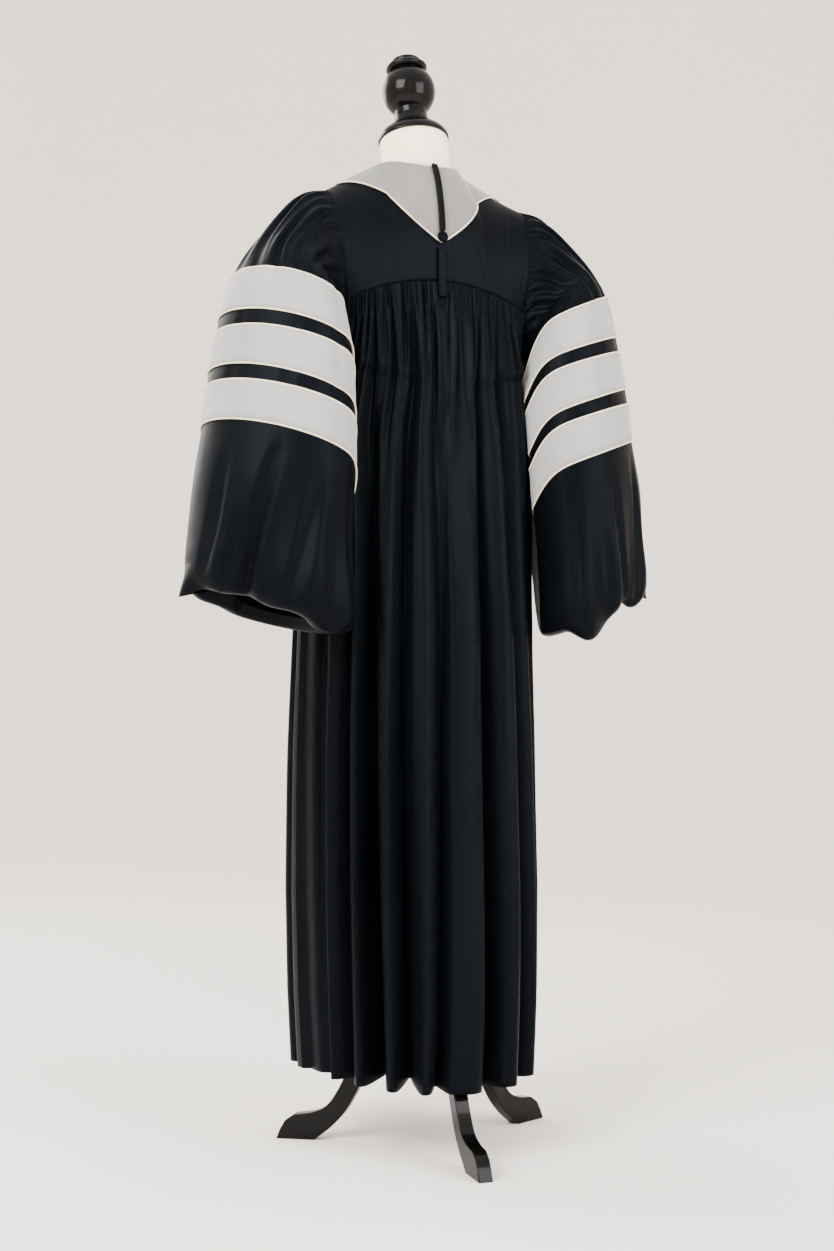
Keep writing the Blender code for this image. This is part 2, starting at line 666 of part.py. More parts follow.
def build_yoke(material):
    grid = []
    for drop in YOKE_DROPS:
        line = [yoke_point(mix(-1.0, 1.0, j / YOKE_CELLS), drop) for j in range(YOKE_CELLS + 1)]
        grid.append(line)
    for j, point in enumerate(grid[0]):
        share = abs(mix(-1.0, 1.0, j / YOKE_CELLS))
        if share > NECK_SHARE:
            point.y += GAP / 2.0
    for point in grid[-1]:
        point.z += 1.5 * GAP
    normals = grid_normals(grid, False, (("bottom", Z_AXIS),))
    for j, normal in enumerate(normals[0]):
        share = abs(mix(-1.0, 1.0, j / YOKE_CELLS))
        if share > NECK_SHARE:
            normals[0][j] = Vector((normal.x, 0.0, normal.z)).normalized()
    for line in normals:
        line[0] = away_from_arm(line[0], -1.0)
        line[-1] = away_from_arm(line[-1], 1.0)
    wall("back_yoke", grid, normals, -CLOTH, 0.0, material)


def away_from_arm(normal, sign):
    """Cut a body panel's edge so that its wall thickens away from the sleeve."""
    outward = max(normal.x * sign, 0.15)
    return Vector((outward * sign, normal.y, normal.z)).normalized()


def build_back_panel(material):
    columns = back_columns()
    rows = range(len(BACK_ROWS))
    grid = sway([[back_point(columns, j, row) for j in range(len(columns))] for row in rows])
    normals = grid_normals(grid, False, (("top", Z_AXIS),))
    for i, line in enumerate(normals):
        for j, sign in ((0, -1.0), (-1, 1.0)):
            if grid[i][0].z < UNDERARM_Z + 0.001:
                line[j] = Vector((line[j].x, 0.0, line[j].z)).normalized()
            else:
                line[j] = away_from_arm(line[j], sign)
    wall("back_panel", grid, normals, -CLOTH, 0.0, material)


def front_grid():
    columns = front_columns()
    count = FACING_COLUMNS + len(columns)
    grid = [[front_point(columns, j, row) for j in range(count)]
            for row in range(len(FRONT_ROWS))]
    for point in grid[0]:
        point.y -= GAP / 2.0
    normals = grid_normals(grid, False)
    normals[0] = [Vector((n.x, 0.0, n.z)).normalized() for n in normals[0]]
    for i, line in enumerate(normals):
        if grid[i][0].x < 0.002:
            line[0] = Vector((0.0, line[0].y, line[0].z)).normalized()
        if grid[i][-1].z < UNDERARM_Z + 0.001:
            line[-1] = Vector((line[-1].x, 0.0, line[-1].z)).normalized()
        else:
            line[-1] = away_from_arm(line[-1], 1.0)
    return grid, normals


def build_fronts(cloth, velvet, trim):
    left_grid, left_normals = front_grid()
    wide = FACING_COLUMNS + 1
    for side in ("left", "right"):
        grid, normals = left_grid, left_normals
        if side == "right":
            grid, normals = mirrored(grid), mirrored(normals)
        grid = sway([[point.copy() for point in line] for line in grid])
        wall("front_" + side, grid, normals, -CLOTH, 0.0, cloth)
        wall("facing_front_" + side, [line[:wide] for line in grid],
             [line[:wide] for line in normals], GAP, GAP + VELVET, velvet)
        feet, outs = [], []
        for line, line_normals in zip(grid, normals):
            edge = line[FACING_COLUMNS]
            along = (line[FACING_COLUMNS + 1] - edge).normalized()
            out = line_normals[FACING_COLUMNS]
            feet.append((edge + along * PIPING_GAP + out * 0.0003,
                         edge + along * (PIPING_GAP + PIPING_WIDE) + out * 0.0003))
            outs.append(out)
        piping("piping_front_" + side, feet, outs, trim)


def facing_point(across, down):
    """A point of the left half of the back V: from the neckline to its lower edge."""
    outer_share = NECK_SHARE + (1.0 - NECK_SHARE) * (
        (FACING_X - NECK_R) / (armhole(0.0).x - NECK_R))
    upper = Vector((NECK_SHARE * across, 0.0))
    lower = Vector((outer_share * across, V_TIP * (1.0 - across)))
    share, drop = upper.lerp(lower, down)
    return yoke_point(share, drop)


def build_back_facing(velvet, trim):
    across_cells, down_cells = 9, 5
    grid = [[facing_point(mix(0.0, 1.0, j / across_cells), i / down_cells)
             for j in range(across_cells + 1)] for i in range(down_cells + 1)]
    normals = [[yoke_normal(p) for p in line] for line in grid]
    for line in grid:
        line[0].x = GAP / 2.0
        line[-1].y += 0.0012
    for line in normals:
        line[0] = Vector((0.0, line[0].y, line[0].z)).normalized()
        line[-1] = Vector((line[-1].x, 0.0, line[-1].z)).normalized()
    for side in ("left", "right"):
        if side == "right":
            grid, normals = mirrored(grid), mirrored(normals)
        wall("facing_back_" + side, grid, normals, LIFT, LIFT + VELVET, velvet)
        feet, outs = [], []
        for j, (edge, out) in enumerate(zip(grid[-1], normals[-1])):
            down = (grid[-1][j] - grid[-2][j]).normalized()
            down = (down - out * down.dot(out)).normalized()
            foot = edge + out * (LIFT - GAP)
            feet.append((foot + down * PIPING_GAP, foot + down * (PIPING_GAP + PIPING_WIDE)))
            outs.append(out)
        if side == "left":
            feet[0] = tuple(Vector((GAP, p.y, p.z)) for p in feet[0])
        else:
            feet[0] = tuple(Vector((-GAP, p.y, p.z)) for p in feet[0])
        piping("piping_back_" + side, feet, outs, trim)


def yoke_normal(point):
    """Outward normal of the yoke's surface near a point, by its two directions."""
    best, best_gap = (0.0, 0.0), 1.0
    for i in range(41):
        for j in range(41):
            gap = (yoke_point(i / 40.0, j / 40.0) - point).length
            if gap < best_gap:
                best, best_gap = (i / 40.0, j / 40.0), gap
    share, drop = best
    step = 0.02
    wide = yoke_point(min(share + step, 1.0), drop) - yoke_point(max(share - step, 0.0), drop)
    fall = yoke_point(share, min(drop + step, 1.0)) - yoke_point(share, max(drop - step, 0.0))
    normal = wide.cross(fall).normalized()
    if normal.y < 0.0:
        normal = -normal
    if share < step:
        normal = Vector((0.0, normal.y, normal.z)).normalized()
    return normal


def sleeve_grid(side):
    grid = []
    for row in range(len(SLEEVE_ROWS)):
        line = []
        for k in range(SLEEVE_CELLS):
            angle = 360.0 * k / SLEEVE_CELLS
            angle = angle - 360.0 if angle > 180.0 else angle
            pleat = 1.0 if k % 2 else -1.0
            line.append(sleeve_point(side, angle, row, pleat))
        grid.append(line)
    for point in grid[0]:
        point.x += GAP * 1.3
    return grid


def build_sleeve(side, cloth, velvet, trim):
    grid = sleeve_grid(side)
    normals = grid_normals(grid, True)
    normals[0] = [Vector((min(n.x, 0.0), n.y, n.z)).normalized() for n in normals[0]]
    if side == "right":
        grid, normals = mirrored(grid), mirrored(normals)
    wall("sleeve_" + side, grid, normals, -CLOTH, 0.0, cloth, closed=True)
    for number, row in enumerate(BAR_TOPS, 1):
        bar = "bar_{}_{}".format(side, number)
        wall(bar, grid[row:row + 2], normals[row:row + 2], 2.0 * GAP, 2.0 * GAP + VELVET,
             velvet, closed=True)
        for edge, near, far in (("top", row, row - 1), ("bottom", row + 1, row + 2)):
            feet, outs = [], []
            for k in range(SLEEVE_CELLS):
                start = grid[near][k]
                along = grid[far][k] - start
                length = along.length
                a, b = PIPING_GAP / length, (PIPING_GAP + PIPING_WIDE) / length
                feet.append((start + along * a, start + along * b))
                outs.append(normals[near][k])
            piping("piping_{}_{}_{}".format(side, number, edge), feet, outs, trim,
                   closed=True)


# ---------------------------------------------------------------- trim of the centre back
def centre_back(drop):
    point = yoke_point(0.0, drop)
    fall = yoke_point(0.0, min(drop + 0.02, 1.0)) - yoke_point(0.0, max(drop - 0.02, 0.0))
    return point, X_AXIS.cross(fall).normalized() * -1.0


def strip(name, path, half, low, high, material):
    """A flat strip along the centre back. path holds (point, outward normal)."""
    grid, normals = [], []
    for point, out in path:
        if out.y < 0.0:
            out = -out
        grid.append([point - X_AXIS * half, point + X_AXIS * half])
        normals.append([out, out])
    return wall(name, grid, normals, low, high, material)


def build_centre_back(cord_material):
    over = LIFT + VELVET + 0.0008
    drops = [mix(0.0, 0.67, k / 8.0) for k in range(9)]
    strip("hood_cord", [centre_back(drop) for drop in drops], CORD_WIDE / 2.0,
          over, over + CORD_HIGH, cord_material)
    point, out = centre_back(0.715)
    if out.y < 0.0:
        out = -out
    place = Matrix.Translation(point) @ out.to_track_quat("Z", "Y").to_matrix().to_4x4()
    base = over + 0.0016
    profile = ((base, BUTTON_R * 0.8), (base + BUTTON_HIGH * 0.35, BUTTON_R),
               (base + BUTTON_HIGH * 0.7, BUTTON_R * 0.9), (base + BUTTON_HIGH, BUTTON_R * 0.4))
    turned("hood_button", profile, 20, cord_material, place)

    path = []
    start, _ = centre_back(0.79)
    below = BACK_ROWS[2]
    for k in range(7):
        height = start.z - TAB_LONG * k / 6.0
        if height > BACK_ROWS[0][1]:
            share = (start.z - height) / (start.z - BACK_ROWS[0][1])
            point, out = centre_back(mix(0.79, 1.0, share))
        else:
            share = (BACK_ROWS[0][1] - height) / (BACK_ROWS[0][1] - below[1])
            point = Vector((0.0, mix(BACK_ROWS[0][0], below[0], share), height))
            out = Y_AXIS
        path.append((point, out))
    strip("hood_tab", path, TAB_WIDE / 2.0, 0.0035, 0.0035 + TAB_HIGH, cord_material)


# ---------------------------------------------------------------- dress form and stand
def build_form(cloth, lacquer):
    points, faces = [], []
    for height, half, y_back, y_front in TORSO_ROWS:
        middle = (y_back + y_front) / 2.0
        for k in range(TORSO_SIDES):
            turn = 2.0 * math.pi * k / TORSO_SIDES
            points.append(Vector((half * math.cos(turn),
                                  middle + (y_back - y_front) / 2.0 * math.sin(turn), height)))
    lean = Matrix.Rotation(NECK_LEAN, 4, "X")
    neck_middle = Vector((0.0, (TORSO_ROWS[-1][2] + TORSO_ROWS[-1][3]) / 2.0, 1.533))
    neck_axis = (lean @ Z_AXIS.to_4d()).to_3d()
    neck_long = (NECK_TOP_Z - neck_middle.z) / neck_axis.z
    for along in (0.25, 0.6, 1.0):
        centre = neck_middle + neck_axis * neck_long * along
        tilt = Matrix.Rotation(NECK_LEAN * along, 4, "X")
        for k in range(TORSO_SIDES):
            turn = 2.0 * math.pi * k / TORSO_SIDES
            ring = Vector((NECK_FORM_R * math.cos(turn), NECK_FORM_R * math.sin(turn), 0.0))
            points.append(centre + tilt.to_3x3() @ ring)
    rows = len(TORSO_ROWS) + 3
    for i in range(rows - 1):
        for k in range(TORSO_SIDES):
            n = (k + 1) % TORSO_SIDES
            a, b = i * TORSO_SIDES + k, i * TORSO_SIDES + n
            faces.append((a, b, b + TORSO_SIDES, a + TORSO_SIDES))
    faces.append(tuple(reversed(range(TORSO_SIDES))))
    top = (rows - 1) * TORSO_SIDES
    faces.append(tuple(range(top, top + TORSO_SIDES)))
    make_object("form_torso", points, faces, cloth)

    seat = Matrix.Translation(neck_middle + neck_axis * (neck_long + GAP)) @ lean
    turned("neck_cap", CAP_PROFILE, TURNED_SIDES, lacquer, seat)
    ball_low = BALL_CENTRE - math.sqrt(BALL_R ** 2 - BALL_WAIST_R ** 2)
    start = math.acos((BALL_CENTRE - ball_low) / BALL_R)
    stop = math.acos((KNOB_PROFILE[0][0] - BALL_CENTRE) / BALL_R)
    profile = [(CAP_PROFILE[-1][0] + GAP, CAP_PROFILE[-1][1] - 0.001)]
    for k in range(13):
        turn = mix(start, math.pi - stop, k / 12.0)
        profile.append((BALL_CENTRE - BALL_R * math.cos(turn), BALL_R * math.sin(turn)))
    profile += [row for row in KNOB_PROFILE if row[0] > profile[-1][0] + 0.0005]
    turned("finial", profile, TURNED_SIDES, lacquer, seat)


def build_stand(lacquer):
    turned("stand_hub", HUB_PROFILE, TURNED_SIDES, lacquer)
    pole = ((HUB_PROFILE[-1][0] + GAP, POLE_R), (TORSO_ROWS[0][0] - GAP, POLE_R))
    turned("stand_pole", pole, POLE_SIDES, lacquer)
    outline = list(LEG_UPPER_EDGE) + list(LEG_LOWER_EDGE)
    for name, angle in LEG_ANGLES.items():
        out = Vector((math.sin(math.radians(angle)), math.cos(math.radians(angle)), 0.0))
        across = Vector((out.y, -out.x, 0.0))
        points, faces = [], []
        for offset in (-LEG_WIDE / 2.0, LEG_WIDE / 2.0):
            points += [out * reach + across * offset + Z_AXIS * height
                       for reach, height in outline]
        count = len(outline)
        faces.append(tuple(range(count)))
        faces.append(tuple(reversed(range(count, 2 * count))))
        for k in range(count):
            n = (k + 1) % count
            faces.append((n, k, count + k, count + n))
        make_object("leg_" + name, points, faces, lacquer)


def stand_on_origin():
    """Move everything so that the middle of the footprint is the origin."""
    objects = list(bpy.context.collection.objects)
    low = [min(min(v.co[axis] for v in obj.data.vertices) for obj in objects)
           for axis in range(3)]
    high = [max(max(v.co[axis] for v in obj.data.vertices) for obj in objects)
            for axis in range(3)]
    shift = Matrix.Translation((-(low[0] + high[0]) / 2.0, -(low[1] + high[1]) / 2.0, 0.0))
    for obj in objects:
        obj.data.transform(shift)


def main():
    for obj in list(bpy.data.objects):
        bpy.data.objects.remove(obj)
    materials = {name: make_material(name) for name in COLOURS}
    cloth, trim = materials["gown_cloth"], materials["piping"]
    build_yoke(cloth)
    build_back_panel(cloth)
    build_fronts(cloth, materials["velvet"], trim)
    build_back_facing(materials["velvet"], trim)
    for side in ("left", "right"):
        build_sleeve(side, cloth, materials["velvet_bar"], trim)
    build_centre_back(materials["cord"])
    build_form(materials["form_cloth"], materials["black_lacquer"])
    build_stand(materials["black_lacquer"])
    stand_on_origin()


main()
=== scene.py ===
"""Looks of the doctoral gown and of the dress form that it hangs on.

Metres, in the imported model's frame: +Z up, the gown's front faces -Y, the wearer's left
is +X. Each cloth piece is a thin shell on the form of its CAD solid, so the tables of
sections below are the gown's own, and finer gathers and creases are added to them.
"""
import math

import bpy
from mathutils import Matrix, Vector


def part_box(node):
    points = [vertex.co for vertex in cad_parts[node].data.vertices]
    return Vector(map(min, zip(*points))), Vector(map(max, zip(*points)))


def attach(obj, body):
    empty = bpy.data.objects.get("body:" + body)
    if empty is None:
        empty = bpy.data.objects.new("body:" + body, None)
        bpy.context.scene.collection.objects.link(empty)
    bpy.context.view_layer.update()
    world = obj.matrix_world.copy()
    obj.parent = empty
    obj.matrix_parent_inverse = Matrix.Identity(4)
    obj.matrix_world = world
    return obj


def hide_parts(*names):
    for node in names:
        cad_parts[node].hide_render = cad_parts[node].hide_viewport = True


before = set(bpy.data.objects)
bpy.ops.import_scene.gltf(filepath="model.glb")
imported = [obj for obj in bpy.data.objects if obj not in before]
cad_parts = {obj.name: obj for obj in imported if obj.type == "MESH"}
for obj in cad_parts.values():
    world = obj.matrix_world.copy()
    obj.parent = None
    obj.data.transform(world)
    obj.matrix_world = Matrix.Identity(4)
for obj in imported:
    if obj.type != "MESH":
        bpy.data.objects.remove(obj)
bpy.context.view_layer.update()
POLE_LOW, POLE_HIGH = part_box("stand_pole")
POLE_AXIS = Vector(((POLE_LOW.x + POLE_HIGH.x) / 2.0, (POLE_LOW.y + POLE_HIGH.y) / 2.0, 0.0))

# ---------------------------------------------------------------- driving sizes
GAP = 0.0003             # gap at seams and between faces that touch
LIFT = 0.0014            # clearance of a facing whose rows are not the yoke's own rows

HANG_Y = -0.06           # the skirt hangs round this line, in front of the pole
SQUARE = 0.87            # exponent of the body sections; 1 is an ellipse, less is squarer
SWAY = 0.007             # the skirt hangs this far towards the wearer's left at its hem,
SWAY_TOP = 1.1           # from this height down
SWAY_REACH = 0.6

ARM_X = 0.156            # armhole oval: centre, half height and half depth
ARM_Y = -0.035
ARM_Z = 1.348
ARM_HALF_HIGH = 0.135
ARM_HALF_DEEP = 0.080
ARM_LEAN_X = 0.010       # its top stands this much further out than its middle
ARM_LEAN_Y = 0.015       # and this much further back
UNDERARM_Z = ARM_Z - ARM_HALF_HIGH

NECK_Y = -0.035          # centre of the neck opening
NECK_R = 0.062
NAPE_Z = 1.526
NECK_SIDE_Z = 1.539
NECK_SHARE = 0.40        # share of the yoke's top edge that lies on the neckline
FACING_X = 0.140         # outer edge of the velvet facing on the shoulder seam
V_TIP = 0.745            # height of the V's tip as a share of the yoke, top to seam
YOKE_CROWN_Y = 0.062     # depth of the point that the yoke's curve is drawn towards
YOKE_CROWN_OUT = 0.45    # its place across and down, as shares from the top to the seam
YOKE_CROWN_DOWN = 0.30

# Side seam of the skirt: half width of the gown at each height, and where the seam hangs.
SIDE_SEAM = (
    # height, half_width, y
    (1.213, 0.146, -0.050), (1.100, 0.165, -0.054), (0.980, 0.177, -0.058),
    (0.820, 0.187, -0.062), (0.620, 0.191, -0.067), (0.400, 0.192, -0.072),
    (0.240, 0.188, -0.076), (0.100, 0.180, -0.080),
)

# Sections of the back panel, from the yoke seam to the hem. fold is the share of their hem
# depth that the hanging folds have reached, and full is how far the gathered cloth stands
# out on either side of the middle.
BACK_ROWS = (
    # y_mid, z_mid, z_side, fold, full
    (0.0550, 1.3430, 1.3060, 0.00, 0.000),
    (0.0560, 1.3370, 1.3010, 0.00, 0.000),
    (0.0590, 1.3080, 1.2760, 0.00, 0.003),
    (0.0680, 1.2450, 1.2350, 0.04, 0.014),
    (0.0780, 1.1800, 1.2130, 0.12, 0.024),
    (0.0900, 1.1000, 1.1000, 0.24, 0.020),
    (0.1050, 0.9800, 0.9800, 0.38, 0.010),
    (0.1220, 0.8200, 0.8200, 0.54, 0.000),
    (0.1390, 0.6200, 0.6200, 0.70, 0.000),
    (0.1540, 0.4000, 0.4000, 0.84, 0.000),
    (0.1620, 0.2400, 0.2400, 0.93, 0.000),
    (0.1600, 0.1080, 0.1220, 1.00, 0.000),
)
BACK_SETTLED = 7         # row from which the gathers have become folds
FULL_TURN = 55.0         # where the gathered cloth stands out most, by angle from the back
FULL_HALF_WIDTH = 30.0

# Troughs between the folds of the back, by angle from the centre back, wearer's left
# positive, at mid height and at the hem.
BACK_TROUGHS = (
    # mid, hem, half_width, depth, lift
    (-73.0, -74.0, 6.5, 0.024, 0.000),
    (-55.0, -55.0, 6.5, 0.046, 0.000),
    (-36.0, -33.0, 6.0, 0.055, 0.002),
    (-15.0, -10.5, 6.0, 0.060, 0.004),
    (6.0, 13.5, 4.5, 0.036, 0.005),
    (26.0, 29.0, 5.5, 0.050, 0.012),
    (44.0, 46.0, 5.5, 0.062, 0.010),
    (58.0, 63.0, 4.5, 0.026, 0.002),
    (75.0, 77.0, 5.5, 0.018, 0.000),
)
CREST_ROUND = 0.012      # how far a fold's crest rounds back towards its troughs
TROUGH_STEPS = (-1.0, -0.45, 0.0, 0.45, 1.0)  # columns across a trough, in half widths

# Sections of a front, from the shoulder seam to the hem. The edge is the neckline down to
# the point of the front opening and the closed centre front below it.
FRONT_ROWS = (
    # x_edge, y_edge, z_edge, z_side, x_band, fold
    (0.062, -0.0350, 1.5390, 1.4830, 0.138, 0.00),
    (0.050, -0.0790, 1.4950, 1.4500, 0.130, 0.00),
    (0.030, -0.1110, 1.4470, 1.4000, 0.122, 0.00),
    (0.001, -0.1330, 1.3980, 1.3550, 0.112, 0.00),
    (0.001, -0.1480, 1.3400, 1.3000, 0.108, 0.00),
    (0.001, -0.1600, 1.2700, 1.2450, 0.106, 0.02),
    (0.001, -0.1680, 1.2000, 1.2130, 0.105, 0.08),
    (0.001, -0.1780, 1.1000, 1.1000, 0.105, 0.20),
    (0.001, -0.1980, 0.9800, 0.9800, 0.105, 0.36),
    (0.001, -0.2190, 0.8200, 0.8200, 0.105, 0.54),
    (0.001, -0.2370, 0.6200, 0.6200, 0.105, 0.70),
    (0.001, -0.2510, 0.4000, 0.4000, 0.105, 0.84),
    (0.001, -0.2590, 0.2400, 0.2400, 0.105, 0.93),
    (0.001, -0.2640, 0.1220, 0.1220, 0.105, 1.00),
)
FRONT_TROUGHS = (
    # share of the way from the facing to the side seam, half_width, depth
    (0.22, 0.10, 0.030),
    (0.50, 0.11, 0.038),
    (0.80, 0.10, 0.026),
)
FACING_COLUMNS = 3       # cells across the velvet facing of a front
FRONT_MEET = 0.001       # half the space between the closed fronts

# Sections of a sleeve, from the armhole to the turned-under hem. out and inn are the
# outermost and innermost x, lean_y and lean_x shear the ring so that it is longest from
# inner back to outer front, tilt lowers its inner side and dip adds to that underarm.
SLEEVE_ROWS = (
    # z_out, out, inn, y_mid, half_deep, lean_y, lean_x, tilt, dip
    (1.4830, 0.1660, 0.1460, -0.035, 0.080, 0.015, 0.000, 0.1350, 0.000),
    (1.4730, 0.2030, 0.1530, -0.030, 0.088, 0.013, 0.000, 0.1190, 0.024),
    (1.4360, 0.2420, 0.1600, -0.022, 0.097, 0.010, -0.002, 0.0890, 0.050),
    (1.3890, 0.2810, 0.1640, -0.012, 0.106, 0.006, -0.006, 0.0470, 0.076),
    (1.3430, 0.3080, 0.1620, 0.000, 0.112, 0.002, -0.014, 0.0300, 0.092),
    (1.2820, 0.3270, 0.1520, 0.006, 0.114, -0.003, -0.017, 0.0300, 0.078),
    (1.2560, 0.3330, 0.1520, 0.008, 0.115, -0.005, -0.018, 0.0290, 0.076),
    (1.2000, 0.3440, 0.1540, 0.012, 0.116, -0.008, -0.020, 0.0330, 0.069),
    (1.1740, 0.3490, 0.1550, 0.014, 0.117, -0.010, -0.020, 0.0320, 0.069),
    (1.1175, 0.3560, 0.1580, 0.017, 0.118, -0.013, -0.021, 0.0360, 0.058),
    (1.0400, 0.3710, 0.1640, 0.021, 0.118, -0.018, -0.020, 0.0360, 0.048),
    (0.9600, 0.3800, 0.1680, 0.024, 0.120, -0.023, -0.021, 0.0300, 0.040),
    (0.9030, 0.3860, 0.1670, 0.030, 0.118, -0.026, -0.022, 0.0310, 0.020),
    (0.8680, 0.3790, 0.1740, 0.032, 0.110, -0.026, -0.022, 0.0310, 0.008),
    (0.8580, 0.3560, 0.1980, 0.032, 0.088, -0.023, -0.018, 0.0290, 0.000),
    (0.8740, 0.3400, 0.2140, 0.032, 0.074, -0.020, -0.015, 0.0260, 0.000),
)
DIP_SHARPNESS = 16       # the higher, the closer a ring's dip stays to the underarm
BAR_TOPS = (4, 6, 8)     # sleeve rows at the top edge of each velvet bar
BELLY_ROW = 12           # widest row, above the turn of the hem
BODY_CLEAR = 0.012       # a sleeve lies this far off the body,
CLEAR_BELOW = UNDERARM_Z + 0.07  # from this height down
CLEAR_ROW = 1.5          # and from this row of its table on
FLAP_HANG = 0.035        # length of the stretch of hem that hangs free

# Folds below the bars of each sleeve, by angle from its outer line towards the back.
SLEEVE_FOLDS = {
    "left": (
        # first_row, angle_there, angle_at_hem, half_width, depth
        (9, 75.0, 48.0, 24.0, 0.012),
        (10, 45.0, 33.0, 15.0, 0.015),
        (9, 118.0, 108.0, 20.0, 0.010),
        (9, -60.0, -70.0, 26.0, 0.012),
    ),
    "right": (
        (9, 62.0, 74.0, 22.0, 0.012),
        (9, 104.0, 98.0, 18.0, 0.014),
        (10, 30.0, 22.0, 16.0, 0.010),
        (9, -60.0, -66.0, 26.0, 0.012),
    ),
}
# Stretch of each hem that hangs free instead of turning under, and its lobes.
SLEEVE_FLAP = {
    # angle, half_width, reach, drop
    "left": (-14.0, 34.0, 0.013, 0.012),
    "right": (22.0, 30.0, 0.006, 0.008),
}
SLEEVE_LOBES = {
    # angle, half_width, drop
    "left": ((112.0, 50.0, 0.016), (62.0, 30.0, 0.008)),
    "right": ((118.0, 36.0, 0.026), (70.0, 16.0, -0.012), (46.0, 20.0, 0.006)),
}

# Dress form: sections of the torso, from the flat foot to the shoulders.
TORSO_ROWS = (
    # height, half_width, y_back, y_front
    (0.800, 0.132, 0.040, -0.128),
    (0.830, 0.147, 0.052, -0.144),
    (0.900, 0.150, 0.056, -0.148),
    (0.960, 0.134, 0.044, -0.136),
    (1.030, 0.114, 0.028, -0.122),
    (1.110, 0.120, 0.030, -0.130),
    (1.190, 0.134, 0.038, -0.146),
    (1.260, 0.141, 0.044, -0.150),
    (1.330, 0.146, 0.044, -0.138),
    (1.400, 0.149, 0.038, -0.120),
    (1.440, 0.151, 0.026, -0.100),
    (1.465, 0.146, 0.012, -0.076),
    (1.484, 0.120, 0.004, -0.062),
    (1.502, 0.090, 0.006, -0.060),
    (1.516, 0.068, 0.012, -0.062),
    (1.530, 0.0575, 0.0190, -0.0850),
)
NECK_FORM_R = 0.0545
NECK_TOP_Z = 1.585
NECK_LEAN = math.radians(11.5)
NECK_FOOT_Z = 1.533
NECK_RINGS = (
    # share of the way up the neck, how far the ring is drawn in
    (0.25, 0.0), (0.4, 0.0), (0.6, 0.0), (0.8, 0.0), (0.93, 0.0), (0.98, 0.0006),
    (1.0, 0.0018),
)
ROUND_SIDES = 96          # sides of what is round
FORM_FINER = 4            # rings of the form for each row of its table

# Turned cap and finial, along the leaning axis of the neck.
CAP_PROFILE = (
    # height, radius
    (0.0000, 0.0563), (0.0030, 0.0563), (0.0080, 0.0545), (0.0150, 0.0490),
    (0.0220, 0.0400), (0.0265, 0.0330), (0.0285, 0.0325), (0.0300, 0.0290),
    (0.0360, 0.0268), (0.0420, 0.0262),
)
BALL_CENTRE = 0.0850
BALL_R = 0.0425
BALL_WAIST_R = 0.0255
KNOB_PROFILE = (
    # height, radius
    (0.1190, 0.0250), (0.1205, 0.0305), (0.1240, 0.0330), (0.1280, 0.0322),
    (0.1310, 0.0275), (0.1325, 0.0235), (0.1350, 0.0240), (0.1385, 0.0225),
    (0.1415, 0.0150),
)

# Tripod.
POLE_R = 0.011
HUB_PROFILE = (
    # height, radius
    (0.1360, 0.0180), (0.1420, 0.0260), (0.1500, 0.0300), (0.2100, 0.0300),
    (0.2200, 0.0270), (0.2260, 0.0200),
)
LEG_WIDE = 0.022
LEG_ANGLES = {"back": 8.0, "left": 128.0, "right": 248.0}
LEG_UPPER_EDGE = (
    # reach, height
    (0.0315, 0.2050), (0.0600, 0.2020), (0.0900, 0.1860), (0.1160, 0.1560),
    (0.1350, 0.1180), (0.1530, 0.0820), (0.1720, 0.0560), (0.1960, 0.0445),
    (0.2260, 0.0400), (0.2410, 0.0300), (0.2500, 0.0150), (0.2560, 0.0000),
)
LEG_LOWER_EDGE = (
    (0.1930, 0.0000), (0.1670, 0.0200), (0.1440, 0.0440), (0.1250, 0.0740),
    (0.1080, 0.1080), (0.0880, 0.1420), (0.0620, 0.1620), (0.0315, 0.1680),
)

# Hood cord, button and tab at the centre back.
BUTTON_R = 0.009
BUTTON_HIGH = 0.006
TAB_WIDE = 0.014
TAB_HIGH = 0.0016
TAB_LONG = 0.075

# ---------------------------------------------------------------- reading the tables
def smooth(value):
    """Ease from 0 to 1."""
    value = min(max(value, 0.0), 1.0)
    return value * value * (3.0 - 2.0 * value)


def mix(a, b, share):
    """The value a share of the way from a to b."""
    return a + (b - a) * share


def bell(distance, half_width):
    """One at the middle of a fold, falling softly to nothing at half_width."""
    share = min(abs(distance) / half_width, 1.0)
    return 0.5 + 0.5 * math.cos(math.pi * share)


def row_at(table, row):
    """A table's values at a row number, on a smooth curve between its rows."""
    last = len(table) - 1
    k = min(max(int(math.floor(row)), 0), last - 1)
    f = row - k
    before, here = table[max(k - 1, 0)], table[k]
    after, beyond = table[k + 1], table[min(k + 2, last)]
    values = []
    for a, b, c, d in zip(before, here, after, beyond):
        values.append(0.5 * (2.0 * b + (c - a) * f + (2.0 * a - 5.0 * b + 4.0 * c - d) * f * f
                             + (3.0 * b - a - 3.0 * c + d) * f * f * f))
    return values


def read_at(table, key):
    """Interpolate the later columns of a table along its first column."""
    rows = sorted(table)
    if key <= rows[0][0]:
        return list(rows[0][1:])
    for low, high in zip(rows, rows[1:]):
        if key <= high[0]:
            share = (key - low[0]) / (high[0] - low[0])
            return [mix(a, b, share) for a, b in zip(low[1:], high[1:])]
    return list(rows[-1][1:])


# ---------------------------------------------------------------- body of the gown
def armhole(angle):
    """A point of the left armhole: 0 is the shoulder, 90 the back, 180 the underarm."""
    c = math.cos(math.radians(angle))
    s = math.sin(math.radians(angle))
    return Vector((ARM_X + ARM_LEAN_X * c,
                   ARM_Y + ARM_LEAN_Y * c + ARM_HALF_DEEP * s,
                   ARM_Z + ARM_HALF_HIGH * c))


